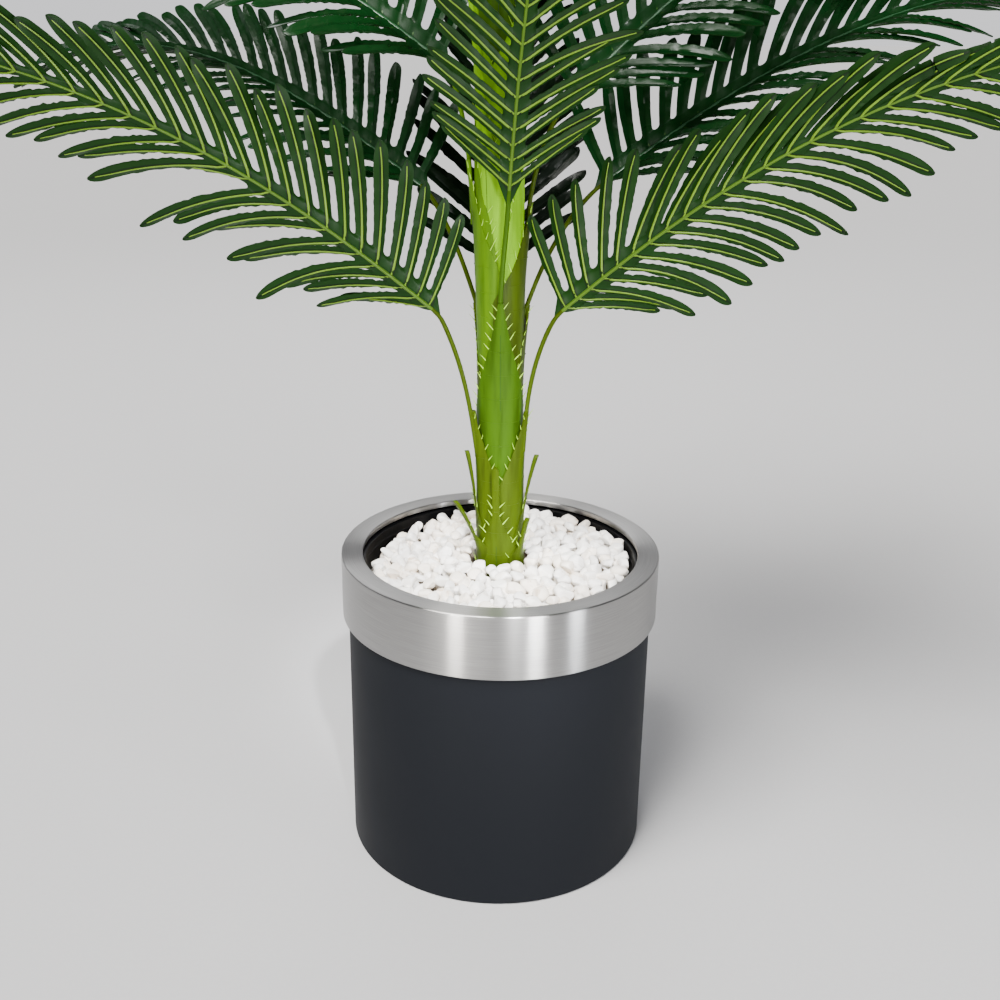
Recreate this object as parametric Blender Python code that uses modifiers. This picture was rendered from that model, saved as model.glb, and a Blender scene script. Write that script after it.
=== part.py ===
"""An artificial areca palm in a round metal planter.

Metres, +Z up. The origin is the centre of the planter's flat underside, -Y is
the front. Every frond is one moulded blade: a petiole, a rib and leaflets.
"""
import math
import random
from dataclasses import dataclass

import bmesh
import bpy
from mathutils import Vector
from mathutils.bvhtree import BVHTree

# Gap left between two pieces that rest on each other
CLEARANCE = 0.0003
MERGE_DISTANCE = 1e-5

# Planter: a straight drum with a folded collar round its top
POT_HEIGHT = 0.319
POT_RADIUS = 0.154
POT_WALL = 0.003
POT_FLOOR = 0.004
POT_FOOT_ROUND = 0.0025
COLLAR_RADIUS = 0.160
COLLAR_HEIGHT = 0.0645
COLLAR_BORE = 0.1418
COLLAR_SHEET = 0.002
COLLAR_LIP = 0.0075
COLLAR_ROUND = 0.0012
ROUND_STEPS = 42

# Inner pot that the palm is planted in, and its filling
LINER_RIM_RADIUS = 0.1412
LINER_RIM_WIDTH = 0.0052
LINER_RIM_HEIGHT = 0.005
LINER_RIM_CHAMFER = 0.001
LINER_TOP = 0.3105
LINER_FOOT_RADIUS = 0.124
LINER_WALL = 0.0025
LINER_FLOOR = 0.003
CORE_TOP = 0.2842
BED_EDGE_Z = 0.3000
BED_CROWN_Z = 0.3065
BED_RINGS = 8
PEBBLE_SIZE = 0.022
PEBBLE_RELIEF = 0.011
PEBBLE_MID_LEVEL = 0.35

# Trunk: a near-constant stem wrapped in leaf sheaths
TRUNK_RADIUS = 0.0205
TRUNK_FLARE = 0.0022
TRUNK_FLARE_HEIGHT = 0.05
TRUNK_SHOULDER_Z = 0.86
TRUNK_TOP_Z = 1.055
TRUNK_TIP_RADIUS = 0.0075
TRUNK_TAPER_POWER = 1.4
TRUNK_LEAN = -0.015
TRUNK_SIDES = 20
TRUNK_ROWS = 42
SHEATH_RELIEF = 0.0022
SHEATH_LENGTH = 0.20
SHEATH_SPREAD = math.radians(105.0)
SHEATH_TOP_SPREAD = math.radians(7.0)
SHEATH_BULGE_POWER = 0.75
SHEATH_SIDE_POWER = 0.8
SHEATH_EDGE_SLOPE = 3.0
NECK_RADIUS = 0.0034
NECK_LENGTH = 0.055
NECK_SHOULDER = 0.3
NECK_ROOT_DEPTH = 0.6
NECK_SWELL = (1.25, 1.1, 1.0)
NECK_STAND_OFF = 0.0062

# Fronds: petiole, rib and the web between the leaflets
PETIOLE_HALF_WIDTH = 0.0038
PETIOLE_EDGE = 0.0036
PETIOLE_SEGMENTS = 4
PETIOLE_BEND_POWER = 1.5
BLADE_BEND_POWER = 1.6
RIB_THICKNESS = 0.0062
RIB_TAPER = 0.68
WEB_HALF_WIDTH = 0.0125
WEB_BASE_SHARE = 0.45
WEB_RISE = 4.0
WEB_TAPER = 0.72
SPINE_STEP = 0.002

# Leaflets: lengths are shares of the frond's own leaf length
LEAF_THICKNESS = 0.0016
LEAF_WIDTH_SHARE = 0.62
LEAF_SHOULDER = 0.70
LEAF_SHOULDER_WIDTH = 0.88
LEAF_TIP_DROOP = 1.0
LEAF_TIP_SWEEP = 0.10
LEAF_BASE_LENGTH = 0.70
LEAF_RISE = 1.2
LEAF_FULL_LENGTH = 0.90
LEAF_FULL_TO = 0.40
LEAF_FALL = 0.62
LEAF_FALL_POWER = 1.5
LEAF_VARIATION = (0.93, 1.04)
END_LEAF_SHARE = 0.8

# Angle between leaflet and rib: wide at the base, then closing towards the tip
LEAF_ANGLE = math.radians(52.0)
LEAF_ANGLE_CLOSING = math.radians(42.0)
LEAF_CLOSED_FROM = 0.62
LEAF_BASE_OPENING = math.radians(14.0)
LEAF_BASE_REACH = 0.20
LEAF_BASE_POWER = 1.5

# Room that leaflets leave round other fronds and the trunk
TRIM_STEPS = (1.0, 0.86, 0.72, 0.58, 0.45)
TRIM_MARGIN = 0.0012
RIB_ROOM_HALF_WIDTH = 0.011
RIB_ROOM_HALF_DEPTH = 0.0045
RIB_ROOM_BASE = 0.55
RIB_ROOM_TAPER = 0.5

LEAF_COLOUR = (0.02, 0.105, 0.022)
LEAF_SHADES = (0.9, 1.0, 1.1)
LEAF_ROUGHNESS = 0.35

COLLECTION_NAME = "artificial_areca_palm"


@dataclass(frozen=True)
class Frond:
    """One frond: degrees and metres. Lean is measured from straight up.

    The fold lifts both rows of leaflets out of the blade's plane.
    """

    azimuth: float
    foot_z: float
    petiole: float
    blade: float
    foot_lean: float
    neck_lean: float
    base_lean: float
    tip_lean: float
    roll: float
    leaf: float
    pairs: int
    fold: float = 28.0


FRONDS = (
    Frond(207, 0.437, 0.133, 0.56, 9, 28, 50, 84, 60, 0.122, 16),
    Frond(332, 0.440, 0.128, 0.56, 3, 30, 48, 84, -66, 0.122, 16),
    Frond(92, 0.470, 0.115, 0.54, 6, 16, 28, 84, 4, 0.125, 16),
    Frond(147, 0.566, 0.115, 0.58, 22, 41, 61, 114, -34, 0.120, 16),
    Frond(15, 0.566, 0.127, 0.58, 20, 48, 55, 99, 32, 0.120, 16),
    Frond(281, 0.575, 0.096, 0.50, 3, 8, 17, 74, 0, 0.118, 16, fold=8.0),
    Frond(161, 0.655, 0.126, 0.55, 3, 22, 57, 96, -40, 0.124, 16),
    Frond(21, 0.640, 0.118, 0.56, 6, 36, 48, 84, 44, 0.128, 16),
    Frond(67, 0.715, 0.120, 0.54, 6, 20, 36, 88, -6, 0.124, 16),
    Frond(240, 0.742, 0.118, 0.52, 6, 22, 38, 88, 16, 0.122, 16),
    Frond(310, 0.775, 0.116, 0.52, 6, 22, 36, 86, -16, 0.122, 16),
    Frond(118, 0.800, 0.112, 0.52, 6, 20, 32, 84, 8, 0.122, 16),
    Frond(188, 0.850, 0.108, 0.50, 5, 18, 27, 78, -10, 0.118, 15),
    Frond(352, 0.872, 0.108, 0.50, 5, 18, 26, 76, 10, 0.118, 15),
    Frond(268, 0.930, 0.100, 0.47, 4, 12, 18, 62, 6, 0.114, 15),
    Frond(50, 0.955, 0.098, 0.46, 4, 12, 17, 60, -8, 0.114, 15),
    Frond(142, 0.985, 0.092, 0.44, 3, 9, 12, 48, 10, 0.110, 14),
)


@dataclass(frozen=True)
class Stub:
    """A cut leaf base low on the trunk: degrees and metres."""

    azimuth: float
    foot_z: float
    tip_z: float
    tip_reach: float
    foot_radius: float


STUBS = (
    Stub(196, 0.352, 0.425, 0.0315, 0.0050),
    Stub(214, 0.311, 0.380, 0.0510, 0.0052),
    Stub(262, 0.312, 0.415, 0.0285, 0.0075),
    Stub(344, 0.350, 0.422, 0.0360, 0.0050),
    Stub(322, 0.306, 0.360, 0.0330, 0.0055),
    Stub(88, 0.320, 0.398, 0.0340, 0.0060),
)
STUB_ROOT_DEPTH = 0.7
STUB_BOW = 0.38
STUB_LIFT = 0.002
STUB_MIDDLE_SWELL = 0.72
STUB_TIP_RADIUS = 0.0014


def clear_scene():
    for obj in list(bpy.data.objects):
        bpy.data.objects.remove(obj, do_unlink=True)


def new_collection(name):
    collection = bpy.data.collections.new(name)
    bpy.context.scene.collection.children.link(collection)
    return collection


def principled(name, colour, roughness, metallic=0.0):
    material = bpy.data.materials.new(name)
    material.use_nodes = True
    shader = material.node_tree.nodes["Principled BSDF"]
    shader.inputs["Base Color"].default_value = (*colour, 1.0)
    shader.inputs["Roughness"].default_value = roughness
    shader.inputs["Metallic"].default_value = metallic
    return material


def add_object(name, mesh, collection, material):
    obj = bpy.data.objects.new(name, mesh)
    collection.objects.link(obj)
    obj.data.materials.append(material)
    return obj


def turned(name, profile, collection, material):
    """Turn a closed profile of (radius, z) points about Z; it runs down its outer side."""
    mesh = bpy.data.meshes.new(name)
    edges = [(i, (i + 1) % len(profile)) for i in range(len(profile))]
    mesh.from_pydata([(radius, 0.0, z) for radius, z in profile], edges, [])
    obj = add_object(name, mesh, collection, material)
    screw = obj.modifiers.new("Turn", "SCREW")
    screw.axis = "Z"
    screw.steps = ROUND_STEPS
    screw.render_steps = ROUND_STEPS
    screw.use_merge_vertices = True
    screw.merge_threshold = MERGE_DISTANCE
    screw.use_smooth_shade = True
    return obj


def arc_points(centre, radius, start, end, count):
    """Points on an arc in the (radius, z) plane, angles in degrees."""
    points = []
    for i in range(count + 1):
        angle = math.radians(start + (end - start) * i / count)
        points.append((centre[0] + radius * math.cos(angle), centre[1] + radius * math.sin(angle)))
    return points


def build_pot(collection):
    """The drum: a straight wall with a flat floor and a slightly rounded foot."""
    top = POT_HEIGHT - COLLAR_SHEET - CLEARANCE
    foot = arc_points((POT_RADIUS - POT_FOOT_ROUND, POT_FOOT_ROUND), POT_FOOT_ROUND, 0, -90, 2)
    inner = POT_RADIUS - POT_WALL
    profile = [(POT_RADIUS, top), *foot, (0.0, 0.0)]
    inside = [(0.0, POT_FLOOR), (inner, POT_FLOOR), (inner, top)]
    black = principled("black_powder_coat", (0.024, 0.026, 0.031), 0.55)
    return turned("pot_body", profile + inside, collection, black)


def build_collar(collection):
    """A folded band: outer skirt, flat top ring and a short lip down inside."""
    foot_z = POT_HEIGHT - COLLAR_HEIGHT
    under = POT_HEIGHT - COLLAR_SHEET
    lip_foot = POT_HEIGHT - COLLAR_LIP
    corner = (COLLAR_RADIUS - COLLAR_ROUND, POT_HEIGHT - COLLAR_ROUND)
    top_edge = arc_points(corner, COLLAR_ROUND, 90, 0, 2)
    inner_wall = POT_RADIUS + CLEARANCE
    profile = [(COLLAR_BORE, lip_foot), (COLLAR_BORE, POT_HEIGHT), *top_edge]
    profile += [(COLLAR_RADIUS, foot_z + COLLAR_ROUND), (COLLAR_RADIUS - COLLAR_ROUND, foot_z)]
    profile += [(inner_wall, foot_z), (inner_wall, under)]
    profile += [(COLLAR_BORE + COLLAR_SHEET, under), (COLLAR_BORE + COLLAR_SHEET, lip_foot)]
    steel = principled("brushed_steel", (0.62, 0.62, 0.63), 0.32, 1.0)
    return turned("pot_collar", profile, collection, steel)


def liner_outer_radius(z):
    foot_z = POT_FLOOR + CLEARANCE
    rim_foot = LINER_TOP - LINER_RIM_HEIGHT
    share = (z - foot_z) / (rim_foot - foot_z)
    wall_top = LINER_RIM_RADIUS - LINER_RIM_WIDTH + LINER_WALL
    return LINER_FOOT_RADIUS + (wall_top - LINER_FOOT_RADIUS) * share


def build_liner(collection):
    """The black inner pot, tapered, with a broad rolled rim."""
    foot_z = POT_FLOOR + CLEARANCE
    rim_foot = LINER_TOP - LINER_RIM_HEIGHT
    floor_z = foot_z + LINER_FLOOR
    rim_inner = liner_outer_radius(rim_foot) - LINER_WALL
    profile = [
        (LINER_RIM_RADIUS - LINER_RIM_CHAMFER, LINER_TOP),
        (LINER_RIM_RADIUS, LINER_TOP - LINER_RIM_CHAMFER),
        (LINER_RIM_RADIUS, rim_foot),
        (liner_outer_radius(rim_foot), rim_foot),
        (LINER_FOOT_RADIUS, foot_z),
        (0.0, foot_z),
        (0.0, floor_z),
        (liner_outer_radius(floor_z) - LINER_WALL, floor_z),
        (rim_inner, rim_foot),
        (rim_inner, LINER_TOP),
    ]
    plastic = principled("black_liner_plastic", (0.012, 0.012, 0.013), 0.4)
    return turned("pot_liner", profile, collection, plastic)


def build_core(collection):
    """The planting filling that holds the foot of the trunk."""
    floor_z = POT_FLOOR + LINER_FLOOR + 2.0 * CLEARANCE
    gap = LINER_WALL + CLEARANCE
    top_radius = liner_outer_radius(CORE_TOP) - gap
    foot_radius = liner_outer_radius(floor_z) - gap
    profile = [(0.0, CORE_TOP), (top_radius, CORE_TOP), (foot_radius, floor_z), (0.0, floor_z)]
    filling = principled("planting_filling", (0.30, 0.29, 0.27), 0.9)
    return turned("planting_core", profile, collection, filling)


def build_pebble_bed(collection):
    """A low heap of stones round the trunk, its top broken into pebble-sized bumps."""
    floor_z = CORE_TOP + CLEARANCE
    bore = TRUNK_RADIUS + TRUNK_FLARE + SHEATH_RELIEF + 2.0 * CLEARANCE
    rim = liner_outer_radius(floor_z) - LINER_WALL - 2.0 * CLEARANCE
    edge_z = BED_EDGE_Z - 0.5 * PEBBLE_RELIEF
    profile = [(bore, floor_z), (bore, BED_CROWN_Z)]
    for ring in range(1, BED_RINGS):
        share = ring / BED_RINGS
        radius = bore + (rim - bore) * share
        profile.append((radius, BED_CROWN_Z + (BED_EDGE_Z - BED_CROWN_Z) * share * share))
    profile += [(rim, edge_z), (rim, floor_z)]
    stone = principled("white_pebbles", (0.83, 0.82, 0.79), 0.5)
    bed = turned("pebble_bed", profile, collection, stone)
    bumps = bed.vertex_groups.new(name="bumps")
    bumps.add(range(2, BED_RINGS + 1), 1.0, "REPLACE")
    cells = bpy.data.textures.new("pebble_cells", "VORONOI")
    cells.noise_scale = PEBBLE_SIZE
    relief = bed.modifiers.new("Pebbles", "DISPLACE")
    relief.texture = cells
    relief.texture_coords = "GLOBAL"
    relief.direction = "Z"
    relief.mid_level = PEBBLE_MID_LEVEL
    relief.strength = -PEBBLE_RELIEF
    relief.vertex_group = bumps.name
    return bed


def trunk_centre(z):
    return Vector((TRUNK_LEAN * (z - CORE_TOP), 0.0, z))


def stem_radius(z):
    """Radius of the stem under its sheaths."""
    height = z - CORE_TOP
    flare = TRUNK_FLARE * max(0.0, 1.0 - height / TRUNK_FLARE_HEIGHT) ** 2
    if z <= TRUNK_SHOULDER_Z:
        return TRUNK_RADIUS + flare
    share = (z - TRUNK_SHOULDER_Z) / (TRUNK_TOP_Z - TRUNK_SHOULDER_Z)
    return TRUNK_RADIUS + (TRUNK_TIP_RADIUS - TRUNK_RADIUS) * share ** TRUNK_TAPER_POWER


def angle_between(a, b):
    return abs((a - b + math.pi) % (2.0 * math.pi) - math.pi)


def sheath_relief(angle, z, top_z, azimuth):
    """How far one sheath stands off the stem: a long diamond that ends in its neck."""
    share = (top_z - z) / SHEATH_LENGTH
    if not 0.0 <= share <= 1.0:
        return 0.0
    bulge = math.sin(math.pi * share ** SHEATH_BULGE_POWER) ** SHEATH_SIDE_POWER
    spread = SHEATH_SPREAD * bulge + SHEATH_TOP_SPREAD
    inside = 1.0 - angle_between(angle, azimuth) / spread
    return SHEATH_RELIEF * min(1.0, max(0.0, SHEATH_EDGE_SLOPE * inside))


def trunk_surface_radius(angle, z):
    sheaths = [(frond.foot_z, math.radians(frond.azimuth)) for frond in FRONDS]
    relief = max(sheath_relief(angle, z, top_z, azimuth) for top_z, azimuth in sheaths)
    return stem_radius(z) + relief


def build_stem_mesh():
    """Loft the sheathed stem from rings whose radius follows the sheaths."""
    stem = bmesh.new()
    rings = []
    foot_z = CORE_TOP + CLEARANCE
    for row in range(TRUNK_ROWS + 1):
        z = foot_z + (TRUNK_TOP_Z - foot_z) * row / TRUNK_ROWS
        centre = trunk_centre(z)
        ring = []
        for side in range(TRUNK_SIDES):
            angle = 2.0 * math.pi * side / TRUNK_SIDES
            radius = trunk_surface_radius(angle, z)
            ring.append(stem.verts.new(centre + radius * Vector((math.cos(angle), math.sin(angle), 0.0))))
        rings.append(ring)
    for lower, upper in zip(rings, rings[1:]):
        for side in range(TRUNK_SIDES):
            after = (side + 1) % TRUNK_SIDES
            stem.faces.new((lower[side], lower[after], upper[after], upper[side]))
    stem.faces.new(reversed(rings[0]))
    stem.faces.new(rings[-1])
    mesh = bpy.data.meshes.new("trunk")
    stem.to_mesh(mesh)
    stem.free()
    return mesh


def tapered_limb(name, points, radii, collection):
    """A closed mesh tube through the points, with one radius a point."""
    curve = bpy.data.curves.new(name, "CURVE")
    curve.dimensions = "3D"
    curve.bevel_depth = 1.0
    curve.bevel_resolution = 1
    curve.use_fill_caps = True
    spline = curve.splines.new("POLY")
    spline.points.add(len(points) - 1)
    for point, place, radius in zip(spline.points, points, radii):
        point.co = (*place, 1.0)
        point.radius = radius
    guide = bpy.data.objects.new(name + "_guide", curve)
    collection.objects.link(guide)
    bpy.context.view_layer.update()
    depsgraph = bpy.context.evaluated_depsgraph_get()
    mesh = bpy.data.meshes.new_from_object(guide.evaluated_get(depsgraph))
    bpy.data.objects.remove(guide, do_unlink=True)
    welded = bmesh.new()
    welded.from_mesh(mesh)
    bmesh.ops.remove_doubles(welded, verts=welded.verts, dist=MERGE_DISTANCE)
    welded.to_mesh(mesh)
    welded.free()
    limb = bpy.data.objects.new(name, mesh)
    limb.hide_render = True
    limb.display_type = "WIRE"
    collection.objects.link(limb)
    return limb


def outward(azimuth_degrees):
    azimuth = math.radians(azimuth_degrees)
    return Vector((math.cos(azimuth), math.sin(azimuth), 0.0))


def frond_foot(frond):
    """Where the petiole starts: just off the trunk, on the end of its neck."""
    reach = stem_radius(frond.foot_z) + NECK_STAND_OFF
    return trunk_centre(frond.foot_z) + reach * outward(frond.azimuth)


def lean_direction(azimuth, lean_degrees):
    lean = math.radians(lean_degrees)
    return math.sin(lean) * outward(azimuth) + math.cos(lean) * Vector((0.0, 0.0, 1.0))


def neck_limb(index, frond, collection):
    """The top of a sheath, where it narrows to the petiole."""
    direction = lean_direction(frond.azimuth, frond.foot_lean)
    tip = frond_foot(frond) - CLEARANCE * direction
    shoulder = tip - NECK_SHOULDER * NECK_LENGTH * direction
    root_reach = NECK_ROOT_DEPTH * stem_radius(tip.z)
    root = trunk_centre(tip.z - NECK_LENGTH) + root_reach * outward(frond.azimuth)
    radii = [swell * NECK_RADIUS for swell in NECK_SWELL]
    return tapered_limb(f"neck_{index:02d}", (root, shoulder, tip), radii, collection)


def stub_limb(index, stub, collection):
    """A leaf base that was cut short and curves out to a point."""
    away = outward(stub.azimuth)
    root = trunk_centre(stub.foot_z) + STUB_ROOT_DEPTH * stem_radius(stub.foot_z) * away
    middle_z = 0.5 * (stub.foot_z + stub.tip_z)
    surface = stem_radius(middle_z)
    middle_reach = surface + STUB_BOW * (stub.tip_reach - surface) + STUB_LIFT
    middle = trunk_centre(middle_z) + middle_reach * away
    tip = trunk_centre(stub.tip_z) + stub.tip_reach * away
    radii = (stub.foot_radius, STUB_MIDDLE_SWELL * stub.foot_radius, STUB_TIP_RADIUS)
    return tapered_limb(f"stub_{index:02d}", (root, middle, tip), radii, collection)


def build_trunk(collection, limbs):
    """The sheathed stem with its necks and cut leaf bases joined on."""
    green = principled("trunk_green", (0.25, 0.46, 0.03), 0.45)
    trunk = add_object("trunk", build_stem_mesh(), collection, green)
    for index, frond in enumerate(FRONDS, start=1):
        neck_limb(index, frond, limbs)
    for index, stub in enumerate(STUBS, start=1):
        stub_limb(index, stub, limbs)
    union = trunk.modifiers.new("Join limbs", "BOOLEAN")
    union.operation = "UNION"
    union.operand_type = "COLLECTION"
    union.collection = limbs
    union.solver = "EXACT"
    bpy.context.view_layer.update()
    depsgraph = bpy.context.evaluated_depsgraph_get()
    joined = bpy.data.meshes.new_from_object(trunk.evaluated_get(depsgraph))
    trunk.modifiers.clear()
    trunk.data = joined
    for limb in list(limbs.objects):
        bpy.data.objects.remove(limb, do_unlink=True)
    return trunk


@dataclass
class Station:
    """A place on a frond's spine, with its axes and its place along the part."""

    point: Vector
    along: Vector
    side: Vector
    upper: Vector
    share: float


def lean_at(frond, distance):
    """Lean of the spine in degrees; the blade leaves the petiole at a slight kink."""
    if distance <= frond.petiole:
        share = distance / frond.petiole
        return frond.foot_lean + (frond.neck_lean - frond.foot_lean) * share ** PETIOLE_BEND_POWER
    share = (distance - frond.petiole) / frond.blade
    bend = (frond.tip_lean - frond.base_lean) * share ** BLADE_BEND_POWER
    return frond.base_lean + bend


def spine_axes(frond, distance):
    """Direction, sideways axis and upper-side normal of the spine."""
    along = lean_direction(frond.azimuth, lean_at(frond, distance))
    flat_side = Vector((0.0, 0.0, 1.0)).cross(outward(frond.azimuth))
    upper = along.cross(flat_side)
    twist = math.radians(frond.roll) * min(1.0, distance / frond.petiole) ** 2
    side = math.cos(twist) * flat_side + math.sin(twist) * upper
    return along, side, along.cross(side)


def spine_stations(frond):
    """Stations on the petiole and on the blade, read from one bent line."""
    wanted = [frond.petiole * i / PETIOLE_SEGMENTS for i in range(PETIOLE_SEGMENTS)]
    wanted += [frond.petiole + frond.blade * i / frond.pairs for i in range(frond.pairs + 1)]
    stations = []
    point = frond_foot(frond)
    distance = 0.0
    for target in wanted:
        while distance < target - 1e-9:
            step = min(SPINE_STEP, target - distance)
            point = point + step * lean_direction(frond.azimuth, lean_at(frond, distance + 0.5 * step))
            distance += step
        along, side, upper = spine_axes(frond, distance)
        share = max(0.0, (distance - frond.petiole) / frond.blade)
        stations.append(Station(point.copy(), along, side, upper, share))
    return stations


def leaf_length(frond, share):
    """Leaflets are shorter at the blade's foot, even to its middle and shortest at the tip."""
    rise = min(LEAF_FULL_LENGTH, LEAF_BASE_LENGTH + LEAF_RISE * share)
    beyond = max(0.0, (share - LEAF_FULL_TO) / (1.0 - LEAF_FULL_TO))
    return frond.leaf * rise * (1.0 - LEAF_FALL * beyond ** LEAF_FALL_POWER)


def leaf_angle(share):
    """Angle between a leaflet and the rib: nearly square at the base, forward at the tip."""
    opening = LEAF_BASE_OPENING * max(0.0, 1.0 - share / LEAF_BASE_REACH) ** LEAF_BASE_POWER
    return LEAF_ANGLE - LEAF_ANGLE_CLOSING * min(share, LEAF_CLOSED_FROM) + opening


def web_half_width(share):
    rise = min(1.0, WEB_BASE_SHARE + WEB_RISE * share)
    return WEB_HALF_WIDTH * rise * (1.0 - WEB_TAPER * share)


def folded_side(frond, station, hand):
    """The way out from the rib in which a row of leaflets lies."""
    fold = math.radians(frond.fold)
    return hand * math.cos(fold) * station.side + math.sin(fold) * station.upper


def blend_station(a, b, share):
    mix = [a_axis.lerp(b_axis, share) for a_axis, b_axis in
           ((a.point, b.point), (a.along, b.along), (a.side, b.side), (a.upper, b.upper))]
    return Station(mix[0], *(axis.normalized() for axis in mix[1:]), a.share + (b.share - a.share) * share)


def leaf_corners(near, far, station, flat, length):
    """The leaflet's outline past its foot: far shoulder, tip and near shoulder."""
    angle = leaf_angle(station.share)
    run = math.cos(angle) * station.along + math.sin(angle) * flat
    middle = near.lerp(far, 0.5)
    half_foot = LEAF_SHOULDER_WIDTH * 0.5 * (far - near)

    def reached(share):
        along = share * length
        drop = LEAF_TIP_DROOP * along * along * station.upper
        return middle + along * run + LEAF_TIP_SWEEP * along * share * station.along - drop

    shoulder = reached(LEAF_SHOULDER)
    return shoulder + half_foot, reached(1.0), shoulder - half_foot


def prism(points, half_depth, normal):
    """Closed prism over a small polygon, as vertices and faces for a touch test."""
    count = len(points)
    lower = [point - half_depth * normal for point in points]
    upper = [point + half_depth * normal for point in points]
    faces = [tuple(reversed(range(count))), tuple(range(count, 2 * count))]
    faces += [(i, (i + 1) % count, count + (i + 1) % count, count + i) for i in range(count)]
    return lower + upper, faces


class Obstacles:
    """Faces that a leaflet must stay clear of."""

    def __init__(self):
        self.points = []
        self.faces = []

    def add(self, points, faces):
        start = len(self.points)
        self.points.extend(points)
        self.faces.extend(tuple(start + i for i in face) for face in faces)

    def tree(self):
        return BVHTree.FromPolygons(self.points, self.faces)


def spine_obstacle(stations):
    """A square tube round a frond's petiole and rib, narrow where leaflets sit close."""
    points = []
    faces = []
    for station in stations:
        rise = min(1.0, RIB_ROOM_BASE + WEB_RISE * (1.0 - RIB_ROOM_BASE) * station.share)
        half_width = RIB_ROOM_HALF_WIDTH * (rise - RIB_ROOM_TAPER * station.share)
        for across, deep in ((-1, -1), (1, -1), (1, 1), (-1, 1)):
            offset = across * half_width * station.side + deep * RIB_ROOM_HALF_DEPTH * station.upper
            points.append(station.point + offset)
    for row in range(len(stations) - 1):
        for corner in range(4):
            after = (corner + 1) % 4
            faces.append((4 * row + corner, 4 * row + after, 4 * row + 4 + after, 4 * row + 4 + corner))
    return points, faces


def trimmed_leaf(frond, near, far, station, hand, variation, tree):
    """The longest leaflet that touches nothing, or None where even a short one would."""
    depth = 0.5 * LEAF_THICKNESS + TRIM_MARGIN
    for trim in TRIM_STEPS:
        length = trim * variation * leaf_length(frond, station.share)
        corners = leaf_corners(near, far, station, folded_side(frond, station, hand), length)
        points, faces = prism((near, far, *corners), depth, station.upper)
        if not BVHTree.FromPolygons(points, faces).overlap(tree):
            return corners
    return None


def build_blade_mesh(name, frond, stations, tree, seed):
    """One open sheet: petiole, web and leaflets, thick along the rib."""
    chance = random.Random(seed)
    blade = bmesh.new()
    weight = blade.verts.layers.deform.verify()
    leaves = []

    def vertex(place, thickness):
        vert = blade.verts.new(place)
        vert[weight][0] = thickness / RIB_THICKNESS
        return vert

    petiole = stations[:PETIOLE_SEGMENTS]
    ribs = stations[PETIOLE_SEGMENTS:]
    rows = []
    for station in petiole:
        edges = [station.point + hand * PETIOLE_HALF_WIDTH * station.side for hand in (-1, 1)]
        rows.append((vertex(edges[0], PETIOLE_EDGE), vertex(station.point, RIB_THICKNESS),
                     vertex(edges[1], PETIOLE_EDGE)))
    for low, high in zip(rows, rows[1:]):
        add_face(blade, [low[1], high[1], high[0], low[0]], -1)
        add_face(blade, [low[1], high[1], high[2], low[2]], 1)
    spine = [vertex(station.point, RIB_THICKNESS * (1.0 - RIB_TAPER * station.share)) for station in ribs]
    blade_starts = []
    for hand in (-1, 1):
        previous = rows[-1][0] if hand < 0 else rows[-1][2]
        previous_spine = rows[-1][1]
        for i in range(frond.pairs):
            near_station = blend_station(ribs[i], ribs[i + 1], 0.5 - 0.5 * LEAF_WIDTH_SHARE)
            far_station = blend_station(ribs[i], ribs[i + 1], 0.5 + 0.5 * LEAF_WIDTH_SHARE)
            near_reach = web_half_width(near_station.share)
            far_reach = web_half_width(far_station.share)
            near_place = near_station.point + near_reach * folded_side(frond, near_station, hand)
            far_place = far_station.point + far_reach * folded_side(frond, far_station, hand)
            near = vertex(near_place, LEAF_THICKNESS)
            far = vertex(far_place, LEAF_THICKNESS)
            ring = [previous_spine, spine[i], near, previous]
            add_face(blade, ring, hand)
            add_face(blade, [spine[i], spine[i + 1], far, near], hand)
            variation = chance.uniform(*LEAF_VARIATION)
            corners = trimmed_leaf(frond, near_place, far_place, near_station, hand, variation, tree)
            if corners:
                far_shoulder, tip, near_shoulder = [vertex(corner, LEAF_THICKNESS) for corner in corners]
                add_face(blade, [near, far, far_shoulder, near_shoulder], hand)
                add_face(blade, [near_shoulder, far_shoulder, tip], hand)
                outline = (near_place, far_place, *corners)
                leaves.append(prism(outline, 0.5 * LEAF_THICKNESS, near_station.upper))
            previous = far
            previous_spine = spine[i + 1]
        blade_starts.append(previous)
    tip_station = ribs[-1]
    tip_length = END_LEAF_SHARE * leaf_length(frond, 1.0)
    end = vertex(tip_station.point + tip_length * tip_station.along, LEAF_THICKNESS)
    add_face(blade, [spine[-1], end, blade_starts[0]], -1)
    add_face(blade, [spine[-1], end, blade_starts[1]], 1)
    mesh = bpy.data.meshes.new(name)
    blade.to_mesh(mesh)
    blade.free()
    return mesh, leaves


def add_face(sheet, ring, hand):
    """Add a face of the sheet, turned so that its upper side is the same everywhere."""
    ordered = ring if hand > 0 else list(reversed(ring))
    unique = list(dict.fromkeys(ordered))
    return sheet.faces.new(unique)


def build_frond(index, frond, stations, tree, collection, material):
    name = f"frond_{index:02d}"
    mesh, leaves = build_blade_mesh(name, frond, stations, tree, seed=100 + index)
    obj = add_object(name, mesh, collection, material)
    obj.vertex_groups.new(name="thickness")
    shell = obj.modifiers.new("Thickness", "SOLIDIFY")
    shell.thickness = RIB_THICKNESS
    shell.offset = 0.0
    shell.vertex_group = "thickness"
    shell.use_even_offset = False
    return obj, leaves


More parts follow.
